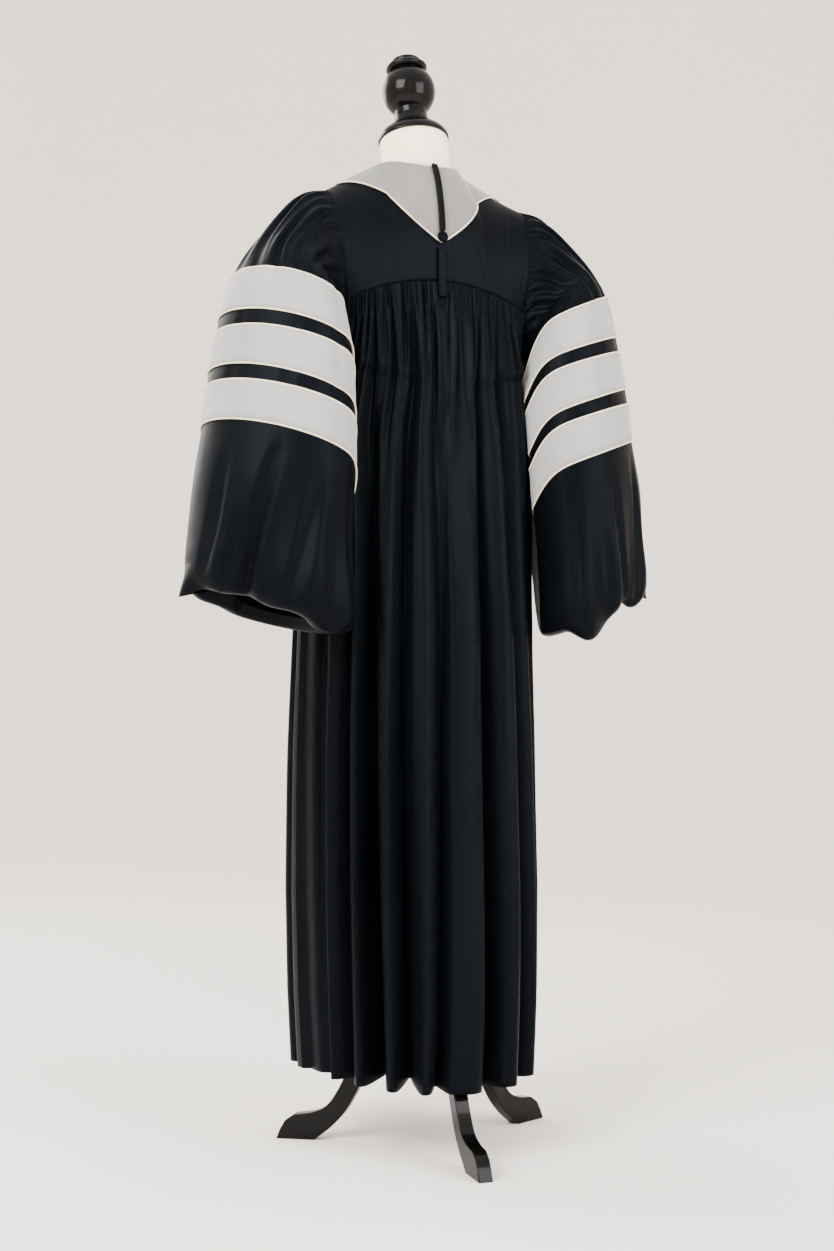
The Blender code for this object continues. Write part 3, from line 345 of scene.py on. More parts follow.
def side_edge(height, facing):
    """Outer edge of a body panel: the armhole, then the side seam. facing is 1 at the back."""
    if height > UNDERARM_Z:
        angle = math.degrees(math.acos(min((height - ARM_Z) / ARM_HALF_HIGH, 1.0)))
        return armhole(facing * angle)
    half_width, seam_y = read_at(SIDE_SEAM, height)
    return Vector((half_width, seam_y + facing * GAP / 2.0, height))


def round_section(turn):
    """Share of the half width and of the depth reached at an angle from the middle."""
    angle = math.radians(min(max(turn, 0.0), 90.0))
    return math.sin(angle) ** SQUARE, max(math.cos(angle), 0.0) ** SQUARE


def push_in(point, depth):
    """Move a point level towards the line that the skirt hangs round."""
    away = Vector((point.x, point.y - HANG_Y, 0.0))
    return point - away.normalized() * depth


def back_columns():
    """Columns of the back panel: five for each trough and one on each crest between."""
    marks = []
    for k, (mid, hem, half, depth, lift) in enumerate(BACK_TROUGHS):
        for step in TROUGH_STEPS:
            marks.append((mid + half * step, hem + half * step,
                          depth * bell(step, 1.0), lift * bell(step, 1.0)))
        if k + 1 < len(BACK_TROUGHS):
            after = BACK_TROUGHS[k + 1]
            marks.append(((mid + after[0]) / 2.0, (hem + after[1]) / 2.0, -CREST_ROUND, 0.0))
    ends = [(-90.0, -90.0, 0.0, 0.0), (90.0, 90.0, 0.0, 0.0)]
    marks = sorted(marks + ends)
    last = len(marks) - 1
    return [(mix(-90.0, 90.0, j / last),) + mark for j, mark in enumerate(marks)]


def sway(grid):
    """Hang the skirt a little towards the wearer's left, more so lower down."""
    for line in grid:
        for point in line:
            point.x += SWAY * smooth((SWAY_TOP - point.z) / SWAY_REACH)
    return grid


def yoke_top(share):
    """Top edge of the left half of the yoke: round the neck, then along the shoulder."""
    if share <= NECK_SHARE:
        turn = math.pi / 2.0 * share / NECK_SHARE
        return Vector((NECK_R * math.sin(turn), NECK_Y + NECK_R * math.cos(turn),
                       mix(NAPE_Z, NECK_SIDE_Z, math.sin(turn) ** 2)))
    neck_side = Vector((NECK_R, NECK_Y, NECK_SIDE_Z))
    return neck_side.lerp(armhole(0.0), (share - NECK_SHARE) / (1.0 - NECK_SHARE))


def yoke_seam(share):
    """The lower edge of the left half of the yoke."""
    y_mid, z_mid, z_side = BACK_ROWS[0][:3]
    side = side_edge(z_side, 1.0)
    across, deep = round_section(90.0 * share)
    return Vector((side.x * across, side.y + (y_mid - side.y) * deep,
                   mix(z_mid, z_side, across ** 2)))


def yoke_point(share, drop):
    """share runs from the centre back to the armhole, either side; drop from top to seam."""
    size = abs(share)
    top, seam = yoke_top(size), yoke_seam(size)

    def crown_between(upper, lower, reach):
        return Vector((mix(upper.x, lower.x, YOKE_CROWN_OUT),
                       mix(lower.y, YOKE_CROWN_Y, reach),
                       mix(upper.z, lower.z, YOKE_CROWN_DOWN)))

    def curve(a, b, c):
        return a * (1.0 - drop) ** 2 + b * 2.0 * drop * (1.0 - drop) + c * drop ** 2

    point = curve(top, crown_between(top, seam, 1.0 - size * 0.6), seam)
    seam_angle = math.degrees(math.acos((BACK_ROWS[0][2] - ARM_Z) / ARM_HALF_HIGH))
    shoulder, arm_seam = yoke_top(1.0), yoke_seam(1.0)
    arm_curve = curve(shoulder, crown_between(shoulder, arm_seam, 0.4), arm_seam)
    point += (armhole(drop * seam_angle) - arm_curve) * size ** 3
    point.x = math.copysign(point.x, share)
    return point


def front_columns():
    """Shares from the facing's outer edge (0) to the side seam (1), after the facing."""
    shares = {0.0: 0.0, 1.0: 0.0}
    for middle, half, depth in FRONT_TROUGHS:
        for step in TROUGH_STEPS:
            shares[middle + half * step] = depth * bell(step, 1.0)
    return sorted(shares.items())


# ---------------------------------------------------------------- sleeves
def skirt_half_width(y, z):
    """Half width of the hanging skirt where it passes a given depth and height."""
    half_width, seam_y = read_at(SIDE_SEAM, z)
    rows = BACK_ROWS if y > seam_y else FRONT_ROWS
    columns = (1, 0) if y > seam_y else (2, 1)
    edge = read_at([(row[columns[0]], row[columns[1]]) for row in rows], z)[0]
    share = min(abs((y - seam_y) / (edge - seam_y)), 1.0)
    across = math.sqrt(max(1.0 - share ** (2.0 / SQUARE), 0.0)) ** SQUARE
    if y <= seam_y:
        return half_width * across
    full = read_at([(row[1], row[4]) for row in BACK_ROWS], z)[0]
    turn = math.degrees(math.acos(share ** (1.0 / SQUARE)))
    return half_width * across + full * bell(turn - FULL_TURN, FULL_HALF_WIDTH)


def sleeve_point(side, angle, row):
    """A point of the left-hand form of a sleeve: 0 is its outer line and 90 its back."""
    z_out, out, inn, y_mid, half_deep, lean_y, lean_x, tilt, dip = row_at(SLEEVE_ROWS, row)
    c = math.cos(math.radians(angle))
    s = math.sin(math.radians(angle))
    middle = Vector(((out + inn) / 2.0, y_mid, 0.0))
    ring = Vector(((out - inn) / 2.0 * c + lean_x * s, lean_y * c + half_deep * s, 0.0))
    lower = (1.0 - c) / 2.0
    height = z_out - tilt * (1.0 - c) - dip * lower ** DIP_SHARPNESS

    last = len(SLEEVE_ROWS) - 1
    inward = 0.0
    for first, at_first, at_hem, half, depth in SLEEVE_FOLDS[side]:
        if row > first:
            share = (row - first) / (last - first)
            reached = smooth((row - first) / (BELLY_ROW - first))
            inward += depth * reached * bell(angle - mix(at_first, at_hem, share), half)
    if row > BELLY_ROW:
        share = (row - BELLY_ROW) / (last - BELLY_ROW)
        flap_angle, flap_half, reach, drop = SLEEVE_FLAP[side]
        free = bell((angle - flap_angle + 180.0) % 360.0 - 180.0, flap_half)
        belly = row_at(SLEEVE_ROWS, BELLY_ROW)
        wide = Vector(((belly[1] - belly[2]) / 2.0 * c + belly[6] * s,
                       belly[5] * c + belly[4] * s, 0.0))
        wide *= 1.0 + reach * share / wide.length
        ring = ring.lerp(wide, free)
        hanging = belly[0] - belly[7] * (1.0 - c) - (FLAP_HANG + drop) * share
        height = mix(height, hanging, free)
        for lobe, half, fall in SLEEVE_LOBES[side]:
            height -= fall * bell(angle - lobe, half) * min(share * 2.0, 1.0) * (1.0 - free)
    point = middle + ring * (1.0 - inward / ring.length)
    point.z = height
    if row > CLEAR_ROW and height < CLEAR_BELOW:
        clear = skirt_half_width(point.y, height) + BODY_CLEAR
        if point.x < clear and point.y < BACK_ROWS[-1][0]:
            point.x = clear
    return point


# ---------------------------------------------------------------- fine gathers and creases
SHIRRING = (
    # row of the back panel, half height of the flutes, of the small gathers, of the large
    (0.00, 0.0000, 0.0000, 0.0000), (0.12, 0.0013, 0.0000, 0.0000),
    (1.00, 0.0019, 0.0002, 0.0000), (2.00, 0.0020, 0.0012, 0.0004),
    (2.30, 0.0012, 0.0038, 0.0012), (3.00, 0.0004, 0.0044, 0.0036),
    (4.00, 0.0001, 0.0032, 0.0058), (5.00, 0.0000, 0.0015, 0.0058),
    (6.00, 0.0000, 0.0004, 0.0034), (7.00, 0.0000, 0.0000, 0.0012),
    (8.00, 0.0000, 0.0000, 0.0000),
)
GATHER_SPACING = (
    # size in columns, rate and start of each wave in the spacing of the gathers
    (0.22, 1.7, 0.4), (0.16, 0.63, 0.0),
)
BACK_CREASES = (
    # column at its top, at its foot, first row, last row, half width in columns, depth
    (8.6, 8.2, 4.2, 9.6, 1.1, 0.0045), (14.4, 14.9, 5.0, 10.6, 0.9, 0.0035),
    (20.7, 20.2, 3.6, 8.4, 1.0, 0.0050), (23.6, 24.2, 7.4, 10.9, 1.1, 0.0040),
    (26.4, 26.0, 4.4, 7.8, 0.8, 0.0035), (30.2, 31.0, 5.4, 10.7, 1.2, 0.0045),
    (33.2, 32.6, 3.4, 7.0, 0.9, 0.0045), (38.4, 38.9, 4.8, 9.4, 1.0, 0.0040),
    (44.9, 44.3, 4.0, 10.4, 1.1, 0.0045), (49.6, 49.9, 5.6, 10.9, 1.2, 0.0040),
    (2.6, 3.2, 5.0, 10.4, 1.0, 0.0035), (52.4, 51.8, 4.6, 9.8, 0.9, 0.0040),
    (17.3, 17.8, 6.4, 9.9, 0.8, -0.0030), (35.6, 36.1, 6.8, 10.4, 0.9, -0.0030),
)
FRONT_CREASES = (
    # column at its top, at its foot, first row, last row, half width in columns, depth
    (4.2, 4.6, 4.4, 9.6, 0.9, 0.0040), (7.6, 7.2, 5.2, 12.6, 1.0, 0.0045),
    (11.2, 11.8, 4.8, 10.2, 0.9, 0.0040), (14.6, 14.1, 6.4, 12.4, 1.1, 0.0045),
    (16.6, 17.0, 3.4, 8.8, 0.8, 0.0040), (1.6, 1.8, 7.6, 12.8, 0.8, 0.0022),
    (9.4, 9.8, 2.2, 6.4, 0.8, 0.0035), (6.0, 5.4, 1.4, 5.6, 0.9, 0.0032),
)
YOKE_CREASES = (
    # share and drop at one end, share and drop at the other, half width in shares, depth
    (0.93, 0.10, 0.70, 0.62, 0.045, 0.0014), (-0.92, 0.12, -0.64, 0.70, 0.050, 0.0014),
    (0.97, 0.40, 0.82, 0.86, 0.040, 0.0013), (-0.97, 0.44, -0.80, 0.90, 0.040, 0.0013),
    (0.30, 0.62, 0.36, 0.98, 0.050, 0.0008), (-0.26, 0.66, -0.34, 0.98, 0.050, 0.0008),
)
SEAM_ROLL = 0.0011        # how far the yoke stands out along its lower seam
SEAM_ROLL_DROP = 0.975
SEAM_ROLL_HALF = 0.030
SEAM_ROLL_BELOW = 0.7     # share of it that is left below its crest
CREASE_FADE = 0.7         # less than 1 keeps a crease deep until nearer its ends
CAP_GATHERS = 27          # gathers round the head of a sleeve
CAP_HEIGHT = 0.0034
ARM_FLUTES = 84           # fine flutes of the shirred band along the armhole
ARM_FLUTE_HEIGHT = 0.0013
ARM_SPACING = (
    # size in degrees, rate and start of each wave in the spacing of the sleeve's gathers
    (2.6, 3.0, 0.0), (1.7, 7.0, 1.0),
)
UNDERARM_GATHERS = 0.20   # share of the gathers' height that is left at the underarm,
UNDERARM_FROM = 150.0     # from this angle, over the next stretch towards the outer line
UNDERARM_OVER = 45.0
CAP_ROWS = (0.7, 1.2, 3.4)    # rows over which the gathers rise, where they start to fade
                              # and over how many rows they fade
BAND_ROWS = (0.08, 0.55, 0.35)  # the same for the shirred band
CAP_CREASES = {
    "left": (
        # angle at its top, at its foot, first row, last row, half width in degrees, depth
        (8.0, 20.0, 0.5, 4.3, 9.0, 0.0085), (30.0, 44.0, 0.5, 4.6, 8.0, 0.0090),
        (52.0, 66.0, 0.6, 4.0, 7.0, 0.0070), (-16.0, -8.0, 0.5, 4.2, 9.0, 0.0070),
        (76.0, 88.0, 0.6, 3.7, 7.0, 0.0055), (100.0, 112.0, 0.7, 4.6, 8.0, 0.0045),
        (-42.0, -32.0, 0.5, 4.4, 9.0, 0.0080), (-70.0, -58.0, 0.6, 3.9, 8.0, 0.0065),
        (-98.0, -84.0, 0.7, 4.2, 8.0, 0.0055),
    ),
    "right": (
        (14.0, 22.0, 0.5, 4.4, 9.0, 0.0085), (38.0, 48.0, 0.5, 4.7, 8.0, 0.0090),
        (60.0, 72.0, 0.6, 4.2, 8.0, 0.0080), (-10.0, -4.0, 0.5, 4.0, 9.0, 0.0075),
        (84.0, 94.0, 0.6, 3.8, 7.0, 0.0060), (108.0, 116.0, 0.7, 4.4, 8.0, 0.0045),
        (-36.0, -28.0, 0.5, 4.5, 9.0, 0.0080), (-64.0, -54.0, 0.6, 4.0, 8.0, 0.0060),
        (-92.0, -80.0, 0.7, 4.3, 8.0, 0.0055),
    ),
}
SLEEVE_CREASES = {
    "left": (
        # angle at its top, at its foot, first row, last row, half width in degrees, depth
        (24.0, 8.0, 9.6, 12.6, 9.0, 0.0080), (62.0, 34.0, 9.3, 13.4, 9.0, 0.0120),
        (96.0, 72.0, 9.6, 13.2, 10.0, 0.0100), (132.0, 140.0, 9.2, 12.8, 10.0, 0.0060),
        (38.0, 20.0, 10.8, 13.4, 7.0, 0.0110), (-34.0, -42.0, 9.4, 12.9, 9.0, 0.0060),
        (-92.0, -104.0, 9.3, 12.9, 10.0, 0.0065), (-134.0, -128.0, 9.5, 12.7, 9.0, 0.0055),
        (66.0, 62.0, 5.2, 9.0, 9.0, 0.0016), (20.0, 16.0, 4.4, 8.6, 8.0, 0.0014),
        (108.0, 104.0, 4.2, 8.0, 10.0, 0.0018), (-44.0, -50.0, 4.4, 8.8, 10.0, 0.0018),
    ),
    "right": (
        (20.0, 8.0, 9.4, 12.8, 9.0, 0.0080), (48.0, 56.0, 9.3, 13.2, 8.0, 0.0100),
        (84.0, 74.0, 9.5, 13.2, 8.0, 0.0100), (124.0, 130.0, 9.2, 12.8, 10.0, 0.0060),
        (-8.0, -14.0, 10.0, 12.9, 9.0, 0.0055), (-34.0, -40.0, 9.4, 12.8, 9.0, 0.0060),
        (-92.0, -100.0, 9.3, 12.9, 10.0, 0.0060), (-130.0, -124.0, 9.5, 12.7, 9.0, 0.0055),
        (40.0, 36.0, 4.4, 8.8, 9.0, 0.0018), (76.0, 80.0, 4.6, 8.2, 9.0, 0.0018),
        (12.0, 8.0, 5.0, 9.0, 8.0, 0.0015), (-50.0, -54.0, 4.4, 8.8, 10.0, 0.0018),
    ),
}

SHELL = 0.0009            # thickness of the gown cloth as it is seen
PILE = 0.0012             # thickness of the velvet as it is seen
BAR_OFF = 0.0010          # a bar's underside from the sleeve
PIPING_R = 0.0014
PIPING_RISE = 1.2         # its middle's height off the cloth and place off the edge, in radii
PIPING_ASIDE = 0.6
TUBE_SIDES = 8
TUBE_END = 0.55           # radius of a cord's closed ends, as a share of its own
CORD_STRAND_R = 0.0021    # the braid: its strands, how far they swing and how often
CORD_SWING = 0.0033
CORD_LIFT = 0.0011
CORD_TURNS = 9.0
CORD_STEPS = 300
CORD_FOOT = 0.67          # heights on the centre back, as shares of the yoke
BUTTON_PLACE = 0.715
TAB_TOP = 0.79
CORD_OVER = LIFT + PILE + 0.0006
BUTTON_RIM = 0.0020       # height of the button's upright edge
TAB_OVER = 0.0035
TAB_EDGE = 0.0007         # how far the tab's long edges turn down


def crease_depth(creases, across, row, half_turn=0.0):
    """Depth of the listed creases at a place: each runs along a slanting line and
    fades at both ends. half_turn is half the way round a tube, or nothing on a panel."""
    depth = 0.0
    for top, foot, first, last, half, deep in creases:
        if first < row < last:
            share = (row - first) / (last - first)
            away = across - mix(top, foot, share)
            if half_turn:
                away = (away + half_turn) % (2.0 * half_turn) - half_turn
            if abs(away) < half:
                depth += deep * bell(away, half) * math.sin(math.pi * share) ** CREASE_FADE
    return depth


def uneven(column):
    """A column's place after the uneven spacing that gathering by hand gives."""
    return column + sum(size * math.sin(rate * column + start)
                        for size, rate, start in GATHER_SPACING)


def back_fine(columns, column, row):
    """A point of the back panel: the hanging folds with their gathers and creases."""
    last = len(columns) - 1
    flute, small, large = read_at(SHIRRING, row)
    place = uneven(column)
    height = flute * math.cos(2.0 * math.pi * place)
    height += small * math.cos(math.pi * place + 0.5 * math.sin(0.9 * int(column)))
    height += large * math.cos(math.pi * place / 2.0)
    height += crease_depth(BACK_CREASES, column, row)
    reach = min(column, last - column, 2.0) / 2.0
    point = back_section(row_at(columns, column), row, 0.0 < column < last)
    return push_in(point, height * reach)


def back_section(column, row, inside):
    """A point of the hanging back panel without its shirring."""
    top, mid, hem, depth, lift = column
    y_mid, z_mid, z_side, fold, full = row_at(BACK_ROWS, row)
    last = len(BACK_ROWS) - 1
    turn = mix(top, mid, smooth((row - 2.0) / (BACK_SETTLED - 2.0)))
    if row > BACK_SETTLED:
        turn = mix(mid, hem, (row - BACK_SETTLED) / (last - BACK_SETTLED))
    across, deep = round_section(abs(turn))
    side = side_edge(z_side, 1.0)
    point = Vector((math.copysign(across * side.x, turn),
                    side.y + (y_mid - side.y) * deep, mix(z_mid, z_side, across ** 2)))
    if inside:
        point.z += lift * max(row - (last - 1.0), 0.0)
        out = full * bell(abs(turn) - FULL_TURN, FULL_HALF_WIDTH)
        point = push_in(point, max(fold, 0.0) * (depth + CREST_ROUND) - out)
    return point


def front_fine(columns, column, row):
    """A point of the left front. The facing's columns come first, as in its solid."""
    x_edge, y_edge, z_edge, z_side, x_band, fold = row_at(FRONT_ROWS, row)
    x_edge = max(x_edge, FRONT_MEET)
    side = side_edge(z_side, -1.0)
    depth = 0.0
    if column <= FACING_COLUMNS:
        share = (mix(x_edge, x_band, column / FACING_COLUMNS) - x_edge) / (side.x - x_edge)
        turn = math.degrees(math.asin(min(max(share, 0.0), 1.0) ** (1.0 / SQUARE)))
    else:
        band = ((x_band - x_edge) / (side.x - x_edge)) ** (1.0 / SQUARE)
        share, depth = row_at(columns, column - FACING_COLUMNS)
        turn = mix(math.degrees(math.asin(min(band, 1.0))), 90.0, min(share, 1.0))
    across, deep = round_section(turn)
    point = Vector((mix(x_edge, side.x, across), side.y + (y_edge - side.y) * deep,
                    mix(z_edge, z_side, across)))
    last = FACING_COLUMNS + len(columns) - 1
    reach = min(max(column - FACING_COLUMNS, 0.0), last - column, 1.0)
    crease = crease_depth(FRONT_CREASES, column - FACING_COLUMNS, row) * reach
    return push_in(point, max(fold, 0.0) * depth + crease)


def yoke_fine(share, drop):
    """A point of the yoke, which rolls a little at its lower seam."""
    point = yoke_point(share, drop)
    depth = 0.0
    for share_a, drop_a, share_b, drop_b, half, deep in YOKE_CREASES:
        along = (drop - drop_a) / (drop_b - drop_a)
        if 0.0 < along < 1.0:
            away = share - mix(share_a, share_b, along)
            depth += deep * bell(away, half) * math.sin(math.pi * along)
    roll = SEAM_ROLL * bell(drop - SEAM_ROLL_DROP, SEAM_ROLL_HALF)
    return push_in(point, depth - roll * (1.0 if drop < SEAM_ROLL_DROP else SEAM_ROLL_BELOW))


def rise_and_fade(row, rise, fade_from, fade_over):
    """How strong a stretch of gathers is at a row."""
    return smooth(row / rise) * (1.0 - smooth((row - fade_from) / fade_over))


def sleeve_fine(side, angle, row):
    """A point of a sleeve, with its gathered head and creases, as the left-hand form."""
    point = sleeve_point(side, angle, row)
    cover = mix(UNDERARM_GATHERS, 1.0,
                smooth((UNDERARM_FROM - abs(angle)) / UNDERARM_OVER))
    gathered = rise_and_fade(row, *CAP_ROWS)
    place = angle + sum(size * math.sin(math.radians(rate * angle) + start)
                        for size, rate, start in ARM_SPACING)
    inward = CAP_HEIGHT * gathered * cover * math.cos(math.radians(CAP_GATHERS * place))
    shirred = rise_and_fade(row, *BAND_ROWS)
    inward += ARM_FLUTE_HEIGHT * shirred * cover * math.cos(math.radians(ARM_FLUTES * angle))
    inward += crease_depth(CAP_CREASES[side], angle, row, 180.0)
    inward += crease_depth(SLEEVE_CREASES[side], angle, row, 180.0)
    values = row_at(SLEEVE_ROWS, row)
    middle = Vector(((values[1] + values[2]) / 2.0, values[3], point.z))
    away = point - middle
    moved = middle + away * (1.0 - inward / max(away.length, 0.02))
    if row > CLEAR_ROW and point.z < CLEAR_BELOW and point.y < BACK_ROWS[-1][0]:
        moved.x = max(moved.x, skirt_half_width(moved.y, point.z) + BODY_CLEAR)
    return moved


# ---------------------------------------------------------------- meshes
def fine_rows(spans):
    """Row places with each span between two rows of a table cut into its own count."""
    places = []
    for row, count in enumerate(spans):
        places += [row + k / count for k in range(count)]
    return places + [float(len(spans))]


def grid_normals(grid, closed):
    """A normal at each point of a grid, from its neighbours."""
    rows, columns = len(grid), len(grid[0])
    normals = []
    for i in range(rows):
        up, down = grid[max(i - 1, 0)], grid[min(i + 1, rows - 1)]
        line = []
        for j in range(columns):
            if closed:
                before, after = (j - 1) % columns, (j + 1) % columns
            else:
                before, after = max(j - 1, 0), min(j + 1, columns - 1)
            along = grid[i][after] - grid[i][before]
            line.append(along.cross(down[j] - up[j]).normalized())
        normals.append(line)
    return normals


def outward_sign(grid, normals):
    """1 where a grid's normals point away from its middle line, and -1 where they don't."""
    count = len(grid) * len(grid[0])
    middle = sum((point for line in grid for point in line), Vector()) / count
    total = 0.0
    for points, line in zip(grid, normals):
        for point, normal in zip(points, line):
            total += normal.x * (point.x - middle.x) + normal.y * (point.y - middle.y)
    return 1.0 if total > 0.0 else -1.0


def add_piece(name, points, faces, material, uvs=None, sharp=40.0):
    """An object from points round the pole, with one material."""
    mesh = bpy.data.meshes.new(name)
    mesh.from_pydata([tuple(point + POLE_AXIS) for point in points], [], faces)
    mesh.update()
    mesh.shade_smooth()
    mesh.set_sharp_from_angle(angle=math.radians(sharp))
    if uvs:
        layer = mesh.uv_layers.new(name="cloth")
        for loop in mesh.loops:
            layer.data[loop.index].uv = uvs[loop.vertex_index]
    mesh.materials.append(material)
    piece = bpy.data.objects.new(name, mesh)
    bpy.context.collection.objects.link(piece)
    return piece


def sheet(name, grid, material, thickness, closed=False, sign=None):
    """A thin shell on a grid. Its outer face is the grid's, and it thickens inwards."""
    rows, columns = len(grid), len(grid[0])
    if sign is None:
        sign = outward_sign(grid, grid_normals(grid, closed))
    points = [point for line in grid for point in line]
    faces = []
    spans = columns if closed else columns - 1
    for i in range(rows - 1):
        for j in range(spans):
            k = (j + 1) % columns
            face = (i * columns + j, i * columns + k,
                    (i + 1) * columns + k, (i + 1) * columns + j)
            faces.append(face if sign > 0.0 else tuple(reversed(face)))
    uvs = []
    down = [0.0] * columns
    wide = (grid[rows // 2][0] - grid[rows // 2][1]).length * 1.3
    for i in range(rows):
        if i:
            down = [d + (grid[i][j] - grid[i - 1][j]).length for j, d in enumerate(down)]
        uvs += [(j * wide, -down[j]) for j in range(columns)]
    piece = add_piece(name, points, faces, material, uvs, sharp=75.0)
    shell = piece.modifiers.new("thickness", "SOLIDIFY")
    shell.thickness = thickness
    shell.offset = -1.0
    return piece


def lift_grid(grid, normals, sign, height):
    """The grid moved out along its normals."""
    return [[p + n * (sign * height) for p, n in zip(line, line_normals)]
            for line, line_normals in zip(grid, normals)]


def mirrored(grid):
    """The grid on the other side of the body."""
    return [[Vector((-p.x, p.y, p.z)) for p in line] for line in grid]


def tube(name, path, radius, material, closed=False):
    """A round cord along a path of points."""
    count = len(path)
    points, faces, uvs = [], [], []
    along = 0.0
    side_way = None
    for k, centre in enumerate(path):
        before = path[k - 1] if k or closed else path[k]
        after = path[(k + 1) % count] if closed or k + 1 < count else path[k]
        ahead = (after - before).normalized()
        if side_way is None:
            side_way = ahead.orthogonal().normalized()
        side_way = (side_way - ahead * side_way.dot(ahead)).normalized()
        other = ahead.cross(side_way)
        size = radius
        if not closed and k in (0, count - 1):
            size = radius * TUBE_END
        along += (centre - before).length
        for m in range(TUBE_SIDES):
            turn = 2.0 * math.pi * m / TUBE_SIDES
            points.append(centre + (side_way * math.cos(turn) + other * math.sin(turn)) * size)
            uvs.append((m / TUBE_SIDES * 2.0 * math.pi * radius, along))
    for k in range(count if closed else count - 1):
        for m in range(TUBE_SIDES):
            n = (m + 1) % TUBE_SIDES
            a, b = k * TUBE_SIDES, ((k + 1) % count) * TUBE_SIDES
            faces.append((a + m, a + n, b + n, b + m))
    if not closed:
        faces.append(tuple(reversed(range(TUBE_SIDES))))
        faces.append(tuple(range((count - 1) * TUBE_SIDES, count * TUBE_SIDES)))
    return add_piece(name, points, faces, material, uvs)


def circle_point(radius, k, sides, middle=0.0, deep=None):
    """A level point on a circle or an oval, k steps round from its +X side."""
    turn = 2.0 * math.pi * k / sides
    return (radius * math.cos(turn),
            middle + (radius if deep is None else deep) * math.sin(turn))


def stacked_faces(count, sides):
    """Faces between rings that lie one on another, and a cap at each end."""
    faces = []
    for i in range(count - 1):
        for k in range(sides):
            a, b = i * sides + k, i * sides + (k + 1) % sides
            faces.append((a, b, b + sides, a + sides))
    top = (count - 1) * sides
    return faces + [tuple(reversed(range(sides))), tuple(range(top, top + sides))]


def turned(name, profile, sides, material, place=Matrix.Identity(4), bevel=0.0):
    """A turned solid from heights and radii."""
    points = [place @ Vector((*circle_point(radius, k, sides), height))
              for height, radius in profile for k in range(sides)]
    piece = add_piece(name, points, stacked_faces(len(profile), sides), material, sharp=35.0)
    if bevel:
        soften(piece, bevel, 35.0)
    return piece


def soften(piece, width, angle):
    """Round off a piece's sharp edges."""
    edges = piece.modifiers.new("edges", "BEVEL")
    edges.width = width
    edges.segments = 3
    edges.limit_method = "ANGLE"
    edges.angle_limit = math.radians(angle)
    edges.harden_normals = True


def join(name, parts):
    """One piece from several, keeping the first one's materials."""
    bpy.ops.object.select_all(action="DESELECT")
    for part in parts:
        part.select_set(True)
    bpy.context.view_layer.objects.active = parts[0]
    bpy.ops.object.join()
    parts[0].name = name
    return parts[0]


# ---------------------------------------------------------------- materials
VELVET_GREY = ((0.158, 0.153, 0.145), (0.184, 0.178, 0.169))   # each is dark, then light
VELVET_LIGHT = ((0.280, 0.278, 0.276), (0.330, 0.328, 0.326))
# each cord colour pair is painted shade for the grooves between strands, then the strands' crests
PIPING_CREAM_AND_GROOVE_SHADE = ((0.62, 0.55, 0.41), (0.74, 0.67, 0.52))
BRAID_BLACK_AND_GROOVE_SHADE = ((0.0015, 0.0015, 0.0018), (0.0055, 0.0055, 0.0065))
PIPING_TWIST = 0.0022     # length of a cord's strands along it
BRAID_TWIST = 0.0016


def node(tree, kind, inputs=(), **settings):
    """A shader node with its settings, and its inputs linked or set."""
    made = tree.nodes.new(kind)
    for key, value in settings.items():
        setattr(made, key, value)
    for key, value in dict(inputs).items():
        if isinstance(value, bpy.types.NodeSocket):
            tree.links.new(value, made.inputs[key])
        else:
            made.inputs[key].default_value = value
    return made


def new_material(name, **sockets):
    """A material with uniform values set on its shader, and its tree and shader."""
    material = bpy.data.materials.new(name)
    material.use_nodes = True
    tree = material.node_tree
    shader = tree.nodes["Principled BSDF"]
    for key, value in sockets.items():
        shader.inputs[key.replace("_", " ")].default_value = value
    return material, tree, shader


def coordinates(tree, stretch=(1.0, 1.0, 1.0), source="Object"):
    """Stretched coordinates in metres."""
    place = node(tree, "ShaderNodeTexCoord")
    return node(tree, "ShaderNodeMapping", {"Vector": place.outputs[source],
                                            "Scale": stretch}).outputs["Vector"]


def noise(tree, vector, scale, detail=3.0, roughness=0.5):
    """Soft noise in three dimensions."""
    return node(tree, "ShaderNodeTexNoise", {"Vector": vector, "Scale": scale,
                                             "Detail": detail, "Roughness": roughness})


def bumps(tree, layers):
    """Bumps laid one on another: each is (height socket, strength, distance)."""
    normal = None
    for height, strength, distance in layers:
        inputs = {"Height": height, "Strength": strength, "Distance": distance}
        if normal is not None:
            inputs["Normal"] = normal
        normal = node(tree, "ShaderNodeBump", inputs).outputs["Normal"]
    return normal


def ramp(tree, value, stops):
    """A colour for each value, blended between the stops."""
    made = node(tree, "ShaderNodeValToRGB", {"Fac": value})
    for k, (position, colour) in enumerate(stops):
        if k >= len(made.color_ramp.elements):
            made.color_ramp.elements.new(position)
        made.color_ramp.elements[k].position = position
        made.color_ramp.elements[k].color = (*colour, 1.0)
    return made.outputs["Color"]


def span(tree, value, low, high):
    """A value from 0 to 1 spread between two limits."""
    return node(tree, "ShaderNodeMapRange", {"Value": value, "To Min": low,
                                             "To Max": high}).outputs["Result"]


